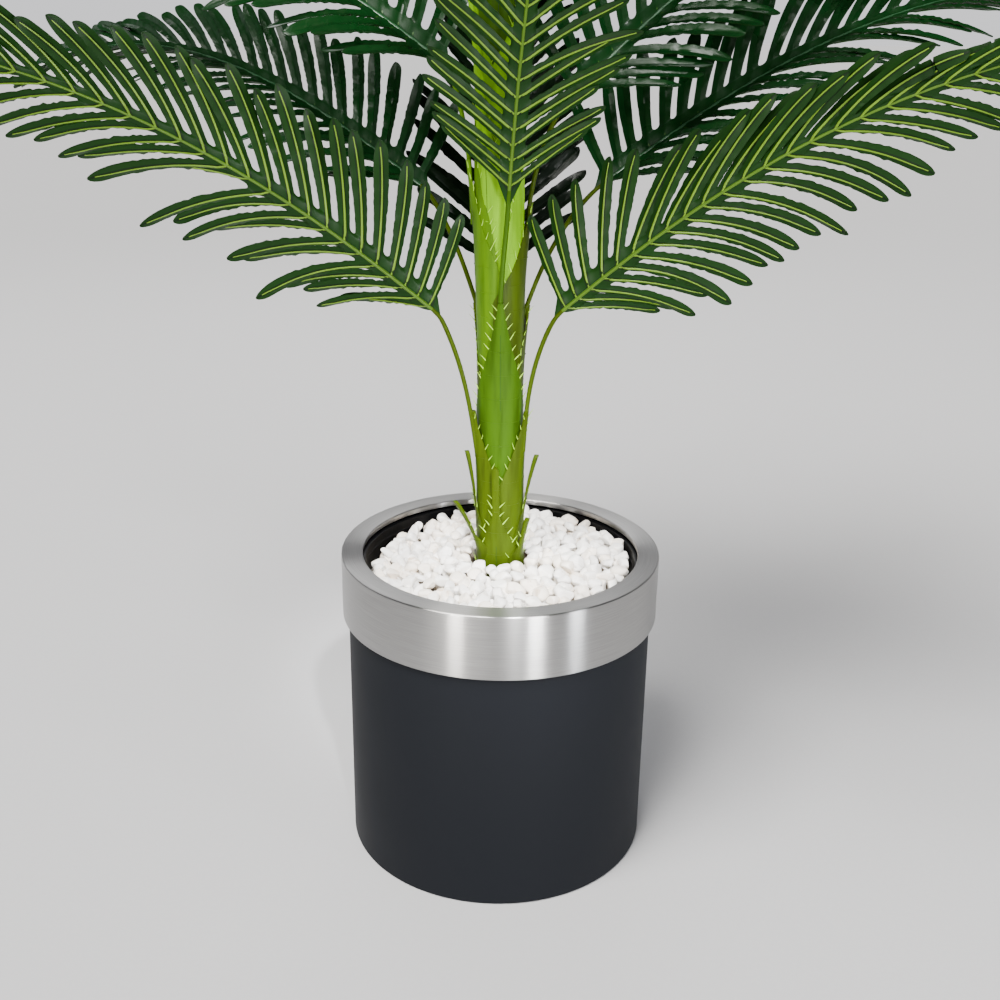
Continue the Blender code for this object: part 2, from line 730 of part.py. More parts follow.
def build_crown(collection, trunk):
    """All fronds, lowest first; each keeps clear of the ones already there."""
    spines = [spine_stations(frond) for frond in FRONDS]
    trunk_points = [vertex.co.copy() for vertex in trunk.data.vertices]
    trunk_faces = [tuple(face.vertices) for face in trunk.data.polygons]
    grown = []
    for index, frond in enumerate(FRONDS):
        obstacles = Obstacles()
        obstacles.add(trunk_points, trunk_faces)
        for other, stations in enumerate(spines):
            if other != index:
                obstacles.add(*spine_obstacle(stations))
        for points, faces in grown:
            obstacles.add(points, faces)
        shade = LEAF_SHADES[index % len(LEAF_SHADES)]
        colour = [shade * channel for channel in LEAF_COLOUR]
        leaf_green = principled(f"leaf_green_{index + 1:02d}", colour, LEAF_ROUGHNESS)
        _, leaves = build_frond(index + 1, frond, spines[index], obstacles.tree(), collection, leaf_green)
        grown.extend(leaves)


def main():
    clear_scene()
    parts = new_collection(COLLECTION_NAME)
    limbs = new_collection("trunk_limbs")
    build_pot(parts)
    build_collar(parts)
    build_liner(parts)
    build_core(parts)
    build_pebble_bed(parts)
    trunk = build_trunk(parts, limbs)
    build_crown(parts, trunk)


main()
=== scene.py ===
"""Looks of an artificial areca palm that stands in a round planter.

Metres, +Z up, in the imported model's own frame: the origin is the centre of the
planter's flat underside and -Y is the side seen in the photograph. The planter,
the sheathed trunk, the white stones and every moulded frond are built here as
fine meshes around the frame, and take their places from the frame's rules.
"""
import logging
import math
import random
from dataclasses import dataclass, field
from enum import Enum

import bmesh
import bpy
import numpy as np
from mathutils import Matrix, Vector


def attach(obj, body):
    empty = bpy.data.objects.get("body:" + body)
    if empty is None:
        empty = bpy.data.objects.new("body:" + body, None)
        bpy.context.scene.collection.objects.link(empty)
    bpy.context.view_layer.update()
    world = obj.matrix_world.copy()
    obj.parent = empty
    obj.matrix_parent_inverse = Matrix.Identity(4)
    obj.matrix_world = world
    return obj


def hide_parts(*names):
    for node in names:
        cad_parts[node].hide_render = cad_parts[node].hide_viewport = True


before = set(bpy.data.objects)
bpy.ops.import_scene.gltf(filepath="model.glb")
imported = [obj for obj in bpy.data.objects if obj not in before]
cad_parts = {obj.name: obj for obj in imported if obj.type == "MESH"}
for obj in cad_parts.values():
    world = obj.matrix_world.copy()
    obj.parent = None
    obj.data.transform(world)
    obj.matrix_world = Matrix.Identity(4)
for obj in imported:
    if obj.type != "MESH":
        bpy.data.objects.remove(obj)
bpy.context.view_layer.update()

log = logging.getLogger("areca_palm")

BODY = "root"
MILLIMETRE = 0.001
UP = np.array((0.0, 0.0, 1.0))
CLEARANCE = 0.3 * MILLIMETRE


class Slot(Enum):
    """The record's material slots."""

    POWDER_COAT = "black_powder_coat"
    STEEL = "brushed_steel"
    LINER = "black_liner_plastic"
    FILLING = "planting_filling"
    PEBBLES = "white_pebbles"
    TRUNK = "trunk_green"
    LEAVES = "leaf_green"


class LeafTone(Enum):
    """Lit and shaded copies of one leaf green, from the brightest to the darkest: painted light on the fronds at the
    front, painted shade on the fronds behind the trunk.
    """

    LIT_GREEN = "lit_green"
    SHADED_GREEN = "shaded_green"
    SHADE = "shade"


class SheathTone(Enum):
    """Greens that the trunk's sheaths are moulded in, and the dark green of the centre line, which is painted groove
    shade.
    """

    LIME = "lime"
    MOSS = "moss"
    LEAF = "leaf"
    OLIVE = "olive"
    SPIKE = "spike"
    # The centre line's dark green is painted shade of the groove down each sheath's middle.
    GROOVE_SHADE = "groove"


# Frond rules shared with the solids


@dataclass(frozen=True)
class SheathFit:
    """How a frond's leaf base sits on the trunk.

    The rise lifts its top over the frond's foot, the opening is the length in
    which it widens round the trunk, the swing turns it from the frond's own
    azimuth in degrees, and the layer lifts it over its neighbours.
    """

    tone: SheathTone
    rise: float = 0.0
    opening: float = 0.095
    swing: float = 0.0
    layer: float = 0.0


@dataclass(frozen=True)
class Frond:
    """One frond in degrees and metres; lean is measured from straight up.

    The pitch is the room between leaflets, the fold lifts both rows out of the
    frond's plane, the comb bends each row towards the blade's tip, and the
    opening spreads the lowest leaflets, and limp leaflets bend under their weight.
    """

    azimuth: float
    foot_z: float
    petiole: float
    blade: float
    foot_lean: float
    neck_lean: float
    base_lean: float
    tip_lean: float
    roll: float
    leaf: float
    tone: LeafTone
    sheath: SheathFit
    pitch: float = 0.0205
    fold: float = 28.0
    comb: tuple[float, float] = (0.0, 0.0)
    opening: float = 8.0
    limp: float = 2.0


LIT_GREEN, SHADED_GREEN, SHADE = LeafTone.LIT_GREEN, LeafTone.SHADED_GREEN, LeafTone.SHADE
LIME, MOSS, LEAF, OLIVE = SheathTone.LIME, SheathTone.MOSS, SheathTone.LEAF, SheathTone.OLIVE

# Each frond's leaf tone is painted light or shade: the lit green at the front, the shaded greens behind the trunk.
FRONDS = (
    Frond(207, 0.437, 0.133, 0.56, 9, 28, 50, 84, 60, 0.122, LIT_GREEN, SheathFit(OLIVE, 0.030, 0.110, 0, 0.0014),
          comb=(3.0, -1.0)),
    Frond(332, 0.440, 0.128, 0.56, 3, 30, 48, 84, -66, 0.122, LIT_GREEN, SheathFit(OLIVE, 0.027, 0.110, 0, 0.0018),
          comb=(14.0, -1.0)),
    Frond(92, 0.470, 0.115, 0.54, 6, 16, 28, 84, 4, 0.125, SHADE, SheathFit(LEAF, layer=0.0006)),
    Frond(147, 0.566, 0.115, 0.58, 22, 41, 61, 114, -34, 0.120, SHADED_GREEN, SheathFit(OLIVE)),
    Frond(15, 0.566, 0.127, 0.58, 20, 48, 55, 99, 32, 0.120, SHADED_GREEN, SheathFit(OLIVE, layer=0.0004)),
    Frond(281, 0.575, 0.096, 0.50, 3, 8, 17, 74, 0, 0.118, LIT_GREEN, SheathFit(LEAF, 0.0, 0.133, -9, 0.0018),
          pitch=0.0165, fold=8.0, comb=(2.0, -4.0), opening=-12.0, limp=3.6),
    Frond(161, 0.655, 0.126, 0.55, 3, 22, 57, 96, -40, 0.124, SHADED_GREEN, SheathFit(MOSS, 0.045, 0.110, 20, 0.0012)),
    Frond(21, 0.640, 0.118, 0.56, 6, 36, 48, 84, 44, 0.128, SHADED_GREEN, SheathFit(OLIVE, 0.020, 0.085, -22, 0.0013)),
    Frond(67, 0.715, 0.120, 0.54, 6, 20, 36, 88, -6, 0.124, SHADED_GREEN, SheathFit(LEAF)),
    Frond(240, 0.742, 0.118, 0.52, 6, 22, 38, 88, 16, 0.122, LIT_GREEN, SheathFit(LIME)),
    Frond(310, 0.775, 0.116, 0.52, 6, 22, 36, 86, -16, 0.122, LIT_GREEN, SheathFit(LIME)),
    Frond(118, 0.800, 0.112, 0.52, 6, 20, 32, 84, 8, 0.122, SHADED_GREEN, SheathFit(LEAF, layer=0.0006)),
    Frond(188, 0.850, 0.108, 0.50, 5, 18, 27, 78, -10, 0.118, LIT_GREEN, SheathFit(LIME)),
    Frond(352, 0.872, 0.108, 0.50, 5, 18, 26, 76, 10, 0.118, SHADED_GREEN, SheathFit(LIME, layer=0.0006)),
    Frond(268, 0.930, 0.100, 0.47, 4, 12, 18, 62, 6, 0.114, LIT_GREEN, SheathFit(LEAF)),
    Frond(50, 0.955, 0.098, 0.46, 4, 12, 17, 60, -8, 0.114, SHADED_GREEN, SheathFit(LIME, layer=0.0006)),
    Frond(142, 0.985, 0.092, 0.44, 3, 9, 12, 48, 10, 0.110, LIT_GREEN, SheathFit(LIME)),
)


@dataclass(frozen=True)
class Stub:
    """A leaf base that was cut off low on the trunk, in degrees and metres."""

    azimuth: float
    foot_z: float
    tip_z: float
    tip_reach: float


STUBS = (
    Stub(196, 0.352, 0.425, 0.0315),
    Stub(214, 0.311, 0.380, 0.0510),
    Stub(262, 0.312, 0.415, 0.0285),
    Stub(344, 0.350, 0.422, 0.0360),
    Stub(322, 0.306, 0.360, 0.0330),
    Stub(88, 0.320, 0.398, 0.0340),
)


@dataclass(frozen=True)
class BareSheath:
    """A leaf base under its neighbours whose leaf was left off, in degrees and metres."""

    azimuth: float
    top_z: float
    opening: float
    opening_power: float
    full_half_angle: float
    tone: SheathTone
    layer: float


BARE_SHEATHS = (
    BareSheath(183, 0.700, 0.150, 0.50, 104.0, MOSS, 0.0006),
    BareSheath(348, 0.690, 0.090, 0.45, 72.0, LIME, 0.0006),
)


# Small tools


def srgb(hex_colour: str) -> tuple[float, float, float, float]:
    """Turn an sRGB hex colour to linear RGBA.

    Args:
        hex_colour: Six hex digits with a leading #.

    Returns:
        Linear red, green, blue and an alpha of one.
    """
    channels = [int(hex_colour[i:i + 2], 16) / 255.0 for i in (1, 3, 5)]
    linear = [c / 12.92 if c <= 0.04045 else ((c + 0.055) / 1.055) ** 2.4 for c in channels]
    return (*linear, 1.0)


def add_node(tree: bpy.types.NodeTree, kind: str, settings: dict | None = None,
             inputs: dict | None = None) -> bpy.types.Node:
    """Add a node, set its properties, and fill or link its inputs.

    Args:
        tree: Node tree that takes the node.
        kind: The node's type name.
        settings: Property names and values.
        inputs: Socket names or numbers with a value or an output socket.

    Returns:
        The new node.
    """
    node = tree.nodes.new(kind)
    for name, value in (settings or {}).items():
        setattr(node, name, value)
    for key, value in (inputs or {}).items():
        if isinstance(value, bpy.types.NodeSocket):
            tree.links.new(value, node.inputs[key])
        else:
            node.inputs[key].default_value = value
    return node


def start_material(name: str) -> tuple[bpy.types.Material, bpy.types.NodeTree, bpy.types.Node]:
    """Make a material with its Principled shader.

    Args:
        name: The material's name.

    Returns:
        The material, its node tree and the shader node.
    """
    material = bpy.data.materials.new(name)
    material.use_nodes = True
    return material, material.node_tree, material.node_tree.nodes["Principled BSDF"]


def set_inputs(tree: bpy.types.NodeTree, shader: bpy.types.Node, inputs: dict) -> None:
    """Fill or link several inputs of a shader.

    Args:
        tree: Tree of the shader.
        shader: The Principled shader.
        inputs: Socket names with a value or an output socket.
    """
    for key, value in inputs.items():
        if isinstance(value, bpy.types.NodeSocket):
            tree.links.new(value, shader.inputs[key])
        else:
            shader.inputs[key].default_value = value


def smooth_step(value: np.ndarray, start: np.ndarray | float, end: np.ndarray | float) -> np.ndarray:
    """Ease from 0 at start to 1 at end."""
    share = np.clip((value - start) / (end - start), 0.0, 1.0)
    return share * share * (3.0 - 2.0 * share)


def unit(vectors: np.ndarray) -> np.ndarray:
    """Scale vectors to length one along their last axis."""
    return vectors / np.maximum(np.linalg.norm(vectors, axis=-1, keepdims=True), 1e-12)


def grid_faces(rows: int, columns: int, wrap: bool = False) -> np.ndarray:
    """Number the quads of a grid whose points run row by row.

    Args:
        rows: Points along the grid.
        columns: Points across the grid.
        wrap: Whether the last column joins the first.

    Returns:
        An array of quads.
    """
    row, column = np.meshgrid(np.arange(rows - 1), np.arange(columns if wrap else columns - 1), indexing="ij")
    after = (column + 1) % columns
    quads = (row * columns + column, row * columns + after,
             (row + 1) * columns + after, (row + 1) * columns + column)
    return np.stack(quads, axis=-1).reshape(-1, 4)


class MeshBatch:
    """Gathers points and faces of many small forms for one joined piece."""

    def __init__(self) -> None:
        """Start empty."""
        self.points: list[np.ndarray] = []
        self.uvs: list[np.ndarray] = []
        self.faces: list[list[int]] = []
        self.kinds: list[int] = []
        self.count = 0

    def add(self, points: np.ndarray, faces: np.ndarray, kind: int = 0, uvs: np.ndarray | None = None) -> None:
        """Add one form.

        Args:
            points: Its points, one a row.
            faces: Its faces, numbered from its own first point.
            kind: Material number of the faces.
            uvs: Surface coordinates of the points.
        """
        points = np.asarray(points, float).reshape(-1, 3)
        self.points.append(points)
        self.uvs.append(np.zeros((len(points), 2)) if uvs is None else np.asarray(uvs, float).reshape(-1, 2))
        self.faces.extend((np.asarray(faces) + self.count).tolist())
        self.kinds.extend([kind] * len(faces))
        self.count += len(points)

    def add_faces(self, faces: np.ndarray, start: int, kind: int) -> None:
        """Add faces between points that are already in.

        Args:
            faces: Faces numbered from start.
            start: Number of the first point.
            kind: Material number of the faces.
        """
        self.faces.extend((np.asarray(faces) + start).tolist())
        self.kinds.extend([kind] * len(faces))

    def build(self, name: str, materials: list[bpy.types.Material], slot: Slot, replaces: list[str],
              sharp: float = 45.0) -> bpy.types.Object:
        """Weld the forms to one piece that rides with the plant.

        Args:
            name: The piece's name.
            materials: Its materials, in the order of the kinds.
            slot: Record slot of the piece; not used.
            replaces: Nodes that it stands for.
            sharp: Angle in degrees above which an edge stays sharp.

        Returns:
            The new object.
        """
        points = np.concatenate(self.points)
        mesh = bpy.data.meshes.new(name)
        mesh.from_pydata(points.tolist(), [], self.faces)
        mesh.polygons.foreach_set("material_index", self.kinds)
        corners = np.empty(len(mesh.loops), dtype=np.int32)
        mesh.loops.foreach_get("vertex_index", corners)
        layer = mesh.uv_layers.new(name="surface")
        layer.data.foreach_set("uv", np.concatenate(self.uvs)[corners].ravel())
        welded = bmesh.new()
        welded.from_mesh(mesh)
        bmesh.ops.remove_doubles(welded, verts=welded.verts, dist=0.01 * MILLIMETRE)
        welded.to_mesh(mesh)
        welded.free()
        mesh.shade_smooth()
        mesh.set_sharp_from_angle(angle=math.radians(sharp))
        piece = bpy.data.objects.new(name, mesh)
        bpy.context.scene.collection.objects.link(piece)
        for material in materials:
            mesh.materials.append(material)
        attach(piece, BODY)
        if replaces:
            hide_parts(*replaces)
        log.info("%s: %d faces", name, len(mesh.polygons))
        return piece


# Finishes


@dataclass(frozen=True)
class PowderCoatedSteel:
    """Sheet steel under a baked black powder coat.

    The powder melts to a soft orange peel, so highlights on it are broad and
    dull and the black stays slightly grey.
    """

    colour: str = "#0f1115"
    roughness: float = 0.60
    peel_size: float = 1.4 * MILLIMETRE

    def build(self) -> bpy.types.Material:
        """Build the material."""
        material, tree, shader = start_material("powder_coated_steel_black")
        place = add_node(tree, "ShaderNodeTexCoord")
        peel = add_node(tree, "ShaderNodeTexNoise", {}, {
            "Vector": place.outputs["Object"], "Scale": 1.0 / self.peel_size, "Detail": 2.0})
        dust = add_node(tree, "ShaderNodeTexNoise", {}, {
            "Vector": place.outputs["Object"], "Scale": 9.0, "Detail": 4.0})
        rough = add_node(tree, "ShaderNodeMapRange", {}, {
            "Value": dust.outputs["Fac"], "To Min": self.roughness - 0.05, "To Max": self.roughness + 0.07})
        bump = add_node(tree, "ShaderNodeBump", {}, {
            "Height": peel.outputs["Fac"], "Strength": 0.12, "Distance": 0.2 * MILLIMETRE})
        set_inputs(tree, shader, {"Base Color": srgb(self.colour), "Roughness": rough.outputs["Result"],
                                  "Specular IOR Level": 0.09, "Normal": bump.outputs["Normal"]})
        return material


@dataclass(frozen=True)
class BrushedStainlessSteel:
    """Stainless sheet, belt-brushed round the band.

    The hairlines run round the planter and pull each reflection out into a
    soft upright streak. They are drawn coarser than the real 0.1 mm.
    """

    colour: str = "#bbbab8"
    line_width: float = 0.9 * MILLIMETRE
    line_length: float = 60.0 * MILLIMETRE

    def build(self, radius: float) -> bpy.types.Material:
        """Build the material.

        Args:
            radius: Radius of the band, which sets the lines' length in degrees.

        Returns:
            The material.
        """
        material, tree, shader = start_material("brushed_stainless_steel")
        place = add_node(tree, "ShaderNodeTexCoord")
        split = add_node(tree, "ShaderNodeSeparateXYZ", {}, {"Vector": place.outputs["Object"]})
        turn = add_node(tree, "ShaderNodeMath", {"operation": "ARCTAN2"},
                        {0: split.outputs["Y"], 1: split.outputs["X"]})
        around = add_node(tree, "ShaderNodeMath", {"operation": "MULTIPLY"},
                          {0: turn.outputs["Value"], 1: radius / self.line_length})
        reach = add_node(tree, "ShaderNodeVectorMath", {"operation": "LENGTH"}, {
            0: add_node(tree, "ShaderNodeCombineXYZ", {}, {
                "X": split.outputs["X"], "Y": split.outputs["Y"]}).outputs["Vector"]})
        across = add_node(tree, "ShaderNodeMath", {"operation": "ADD"},
                          {0: split.outputs["Z"], 1: reach.outputs["Value"]})
        fine = add_node(tree, "ShaderNodeMath", {"operation": "DIVIDE"},
                        {0: across.outputs["Value"], 1: self.line_width})
        unrolled = add_node(tree, "ShaderNodeCombineXYZ", {}, {
            "X": around.outputs["Value"], "Y": fine.outputs["Value"]})
        lines = add_node(tree, "ShaderNodeTexNoise", {}, {
            "Vector": unrolled.outputs["Vector"], "Scale": 1.0, "Detail": 5.0, "Roughness": 0.65})
        rough = add_node(tree, "ShaderNodeMapRange", {}, {
            "Value": lines.outputs["Fac"], "To Min": 0.26, "To Max": 0.33})
        dark = add_node(tree, "ShaderNodeMix", {"data_type": "RGBA"}, {
            "Factor": lines.outputs["Fac"], "A": srgb("#838281"), "B": srgb(self.colour)})
        bump = add_node(tree, "ShaderNodeBump", {}, {
            "Height": lines.outputs["Fac"], "Strength": 0.10, "Distance": 0.05 * MILLIMETRE})
        grain = add_node(tree, "ShaderNodeTangent", {"direction_type": "RADIAL", "axis": "Z"})
        set_inputs(tree, shader, {
            "Base Color": dark.outputs["Result"], "Metallic": 1.0, "Roughness": rough.outputs["Result"],
            "Anisotropic": 1.0, "Anisotropic Rotation": 0.25,
            "Tangent": grain.outputs["Tangent"], "Normal": bump.outputs["Normal"]})
        return material


@dataclass(frozen=True)
class MouldedPolypropylene:
    """Injection-moulded black polypropylene of the inner pot: satin, faintly grained."""

    colour: str = "#060607"
    grain: float = 0.8 * MILLIMETRE

    def build(self) -> bpy.types.Material:
        """Build the material."""
        material, tree, shader = start_material("moulded_polypropylene_black")
        place = add_node(tree, "ShaderNodeTexCoord")
        grain = add_node(tree, "ShaderNodeTexNoise", {}, {
            "Vector": place.outputs["Object"], "Scale": 1.0 / self.grain, "Detail": 2.0})
        rough = add_node(tree, "ShaderNodeMapRange", {}, {
            "Value": grain.outputs["Fac"], "To Min": 0.32, "To Max": 0.46})
        bump = add_node(tree, "ShaderNodeBump", {}, {
            "Height": grain.outputs["Fac"], "Strength": 0.1, "Distance": 0.1 * MILLIMETRE})
        set_inputs(tree, shader, {"Base Color": srgb(self.colour), "Roughness": rough.outputs["Result"],
                                  "IOR": 1.49, "Specular IOR Level": 0.16, "Normal": bump.outputs["Normal"]})
        return material


@dataclass(frozen=True)
class TumbledMarble:
    """White marble chips, tumbled until their edges are round.

    A faint vein and a sugary grain keep the stones from looking like plaster.
    """

    name: str
    colour: str
    vein: str

    def build(self) -> bpy.types.Material:
        """Build the material."""
        material, tree, shader = start_material(f"tumbled_marble_{self.name}")
        place = add_node(tree, "ShaderNodeTexCoord")
        veins = add_node(tree, "ShaderNodeTexNoise", {}, {
            "Vector": place.outputs["Object"], "Scale": 1.0 / (14.0 * MILLIMETRE), "Detail": 5.0,
            "Distortion": 1.6})
        thin = add_node(tree, "ShaderNodeMapRange", {"interpolation_type": "SMOOTHSTEP"}, {
            "Value": veins.outputs["Fac"], "From Min": 0.56, "From Max": 0.74})
        tone = add_node(tree, "ShaderNodeMix", {"data_type": "RGBA"}, {
            "Factor": thin.outputs["Result"], "A": srgb(self.colour), "B": srgb(self.vein)})
        grain = add_node(tree, "ShaderNodeTexNoise", {}, {
            "Vector": place.outputs["Object"], "Scale": 1.0 / (1.2 * MILLIMETRE), "Detail": 3.0})
        bump = add_node(tree, "ShaderNodeBump", {}, {
            "Height": grain.outputs["Fac"], "Strength": 0.25, "Distance": 0.25 * MILLIMETRE})
        set_inputs(tree, shader, {"Base Color": tone.outputs["Result"], "Roughness": 0.5,
                                  "Subsurface Weight": 0.08, "Subsurface Radius": (0.004, 0.004, 0.0035),
                                  "Subsurface Scale": 1.0, "Normal": bump.outputs["Normal"]})
        return material


@dataclass(frozen=True)
class CastMortar:
    """Rough grey mortar that the trunk is set in; a warmer copy under the stones is painted shade for the gaps
    between them.
    """

    colour: str = "#77726b"

    def build(self) -> bpy.types.Material:
        """Build the material."""
        material, tree, shader = start_material("cast_mortar")
        place = add_node(tree, "ShaderNodeTexCoord")
        grit = add_node(tree, "ShaderNodeTexNoise", {}, {
            "Vector": place.outputs["Object"], "Scale": 1.0 / (3.0 * MILLIMETRE), "Detail": 6.0})
        tone = add_node(tree, "ShaderNodeMix", {"data_type": "RGBA"}, {
            "Factor": grit.outputs["Fac"], "A": srgb("#5c5852"), "B": srgb(self.colour)})
        bump = add_node(tree, "ShaderNodeBump", {}, {
            "Height": grit.outputs["Fac"], "Strength": 0.6, "Distance": 1.0 * MILLIMETRE})
        set_inputs(tree, shader, {"Base Color": tone.outputs["Result"], "Roughness": 0.9,
                                  "Normal": bump.outputs["Normal"]})
        return material


@dataclass(frozen=True)
class MouldedPolyethylene:
    """Polyethylene pressed in a steel mould: waxy, with flow lines along the leaf.

    The flow lines break the gloss into long streaks, puckers left by the mould
    break those into glints, and a slow change of roughness keeps the highlights
    of neighbouring leaflets unlike each other.
    """

    name: str
    colour: str
    second: str
    roughness: float
    gloss: float = 0.5
    line_across: float = 26.0
    line_along: float = 1.6
    relief: float = 0.12 * MILLIMETRE
    pucker: float = 0.0
    pucker_across: float = 4.0
    pucker_along: float = 22.0

    def build(self) -> bpy.types.Material:
        """Build the material."""
        material, tree, shader = start_material(f"moulded_polyethylene_{self.name}")
        place = add_node(tree, "ShaderNodeTexCoord")
        stretch = add_node(tree, "ShaderNodeVectorMath", {"operation": "MULTIPLY"}, {
            0: place.outputs["UV"], 1: (self.line_across, self.line_along, 1.0)})
        lines = add_node(tree, "ShaderNodeTexNoise", {}, {
            "Vector": stretch.outputs["Vector"], "Scale": 1.0, "Detail": 3.0})
        slow = add_node(tree, "ShaderNodeTexNoise", {}, {
            "Vector": place.outputs["Object"], "Scale": 1.0 / (40.0 * MILLIMETRE), "Detail": 2.0})
        tone = add_node(tree, "ShaderNodeMix", {"data_type": "RGBA"}, {
            "Factor": slow.outputs["Fac"], "A": srgb(self.colour), "B": srgb(self.second)})
        rough = add_node(tree, "ShaderNodeMapRange", {}, {
            "Value": slow.outputs["Fac"], "From Min": 0.3, "From Max": 0.7,
            "To Min": self.roughness - 0.06, "To Max": self.roughness + 0.08})
        cross = add_node(tree, "ShaderNodeVectorMath", {"operation": "MULTIPLY"}, {
            0: place.outputs["UV"], 1: (self.pucker_across, self.pucker_along, 1.0)})
        puckers = add_node(tree, "ShaderNodeTexNoise", {}, {
            "Vector": cross.outputs["Vector"], "Scale": 1.0, "Detail": 1.5})
        swell = add_node(tree, "ShaderNodeBump", {}, {
            "Height": puckers.outputs["Fac"], "Strength": 0.6, "Distance": self.pucker})
        bump = add_node(tree, "ShaderNodeBump", {}, {
            "Height": lines.outputs["Fac"], "Strength": 0.35, "Distance": self.relief,
            "Normal": swell.outputs["Normal"]})
        set_inputs(tree, shader, {"Base Color": tone.outputs["Result"], "Roughness": rough.outputs["Result"],
                                  "IOR": 1.51, "Specular IOR Level": self.gloss,
                                  "Normal": bump.outputs["Normal"]})
        return material


@dataclass(frozen=True)
class SheathPlastic:
    """Soft green polyethylene of the leaf bases, tinted by hand along their length.

    Long streaks and the thin ring marks of the mould show on it, and its waxy
    skin gives a broad, weak gloss.
    """

    name: str
    colour: str
    second: str
    gloss: float = 0.14

    def build(self) -> bpy.types.Material:
        """Build the material."""
        material, tree, shader = start_material(f"sheath_polyethylene_{self.name}")
        place = add_node(tree, "ShaderNodeTexCoord")
        stretch = add_node(tree, "ShaderNodeVectorMath", {"operation": "MULTIPLY"}, {
            0: place.outputs["UV"], 1: (9.0, 1.3, 1.0)})
        streaks = add_node(tree, "ShaderNodeTexNoise", {}, {
            "Vector": stretch.outputs["Vector"], "Scale": 1.0, "Detail": 4.0})
        tint = add_node(tree, "ShaderNodeMapRange", {"interpolation_type": "SMOOTHSTEP"}, {
            "Value": streaks.outputs["Fac"], "From Min": 0.38, "From Max": 0.68})
        tone = add_node(tree, "ShaderNodeMix", {"data_type": "RGBA"}, {
            "Factor": tint.outputs["Result"], "A": srgb(self.colour), "B": srgb(self.second)})
        bump = add_node(tree, "ShaderNodeBump", {}, {
            "Height": streaks.outputs["Fac"], "Strength": 0.3, "Distance": 0.3 * MILLIMETRE})
        set_inputs(tree, shader, {"Base Color": tone.outputs["Result"], "Roughness": 0.44, "IOR": 1.51,
                                  "Specular IOR Level": self.gloss, "Normal": bump.outputs["Normal"]})
        return material


@dataclass(frozen=True)
class PaperBackdrop:
    """Seamless pale grey paper of the studio floor."""

    colour: str = "#c5c5c7"

    def build(self) -> bpy.types.Material:
        """Build the material."""
        material, tree, shader = start_material("backdrop_paper")
        place = add_node(tree, "ShaderNodeTexCoord")
        fibre = add_node(tree, "ShaderNodeTexNoise", {}, {
            "Vector": place.outputs["Object"], "Scale": 1.0 / (6.0 * MILLIMETRE), "Detail": 4.0})
        tone = add_node(tree, "ShaderNodeMix", {"data_type": "RGBA"}, {
            "Factor": fibre.outputs["Fac"], "A": srgb("#c0c0c3"), "B": srgb(self.colour)})
        set_inputs(tree, shader, {"Base Color": tone.outputs["Result"], "Roughness": 0.85,
                                  "Specular IOR Level": 0.2})
        return material


# Trunk shape, the same rule as the solids


@dataclass(frozen=True)
class Stem:
    """The stem under the sheaths: radius and lean along its height."""

    radius: float = 0.0205
    flare: float = 0.0022
    flare_height: float = 0.05
    foot_z: float = 0.2845
    shoulder_z: float = 0.86
    top_z: float = 1.055
    tip_radius: float = 0.0075
    taper_power: float = 1.4
    lean: float = -0.015

    def centre(self, z: np.ndarray) -> np.ndarray:
        """Centre line of the stem at a height."""
        z = np.asarray(z, float)
        return np.stack((self.lean * (z - self.foot_z), np.zeros_like(z), z), axis=-1)

    def radius_at(self, z: np.ndarray) -> np.ndarray:
        """Radius of the stem at a height."""
        z = np.asarray(z, float)
        foot = self.flare * np.maximum(0.0, 1.0 - (z - self.foot_z) / self.flare_height) ** 2
        share = np.clip((z - self.shoulder_z) / (self.top_z - self.shoulder_z), 0.0, 1.0)
        return self.radius + foot + (self.tip_radius - self.radius) * share ** self.taper_power

    def push_clear(self, points: np.ndarray, margin: float) -> np.ndarray:
        """Bend points that would enter the trunk round its surface.

        Args:
            points: Points of a frond.
            margin: Room to leave off the stem.

        Returns:
            The points, moved outwards where they came too close.
        """
        centre = self.centre(points[..., 2])
        away = points[..., :2] - centre[..., :2]
        distance = np.maximum(np.linalg.norm(away, axis=-1), 1e-6)
        near = self.radius_at(points[..., 2]) + margin
        near = np.where(points[..., 2] < self.top_z + margin, near, 0.0)
        reach = np.maximum(distance, near)
        moved = points.copy()
        moved[..., :2] = centre[..., :2] + away * (reach / distance)[..., None]
        return moved


STEM = Stem()


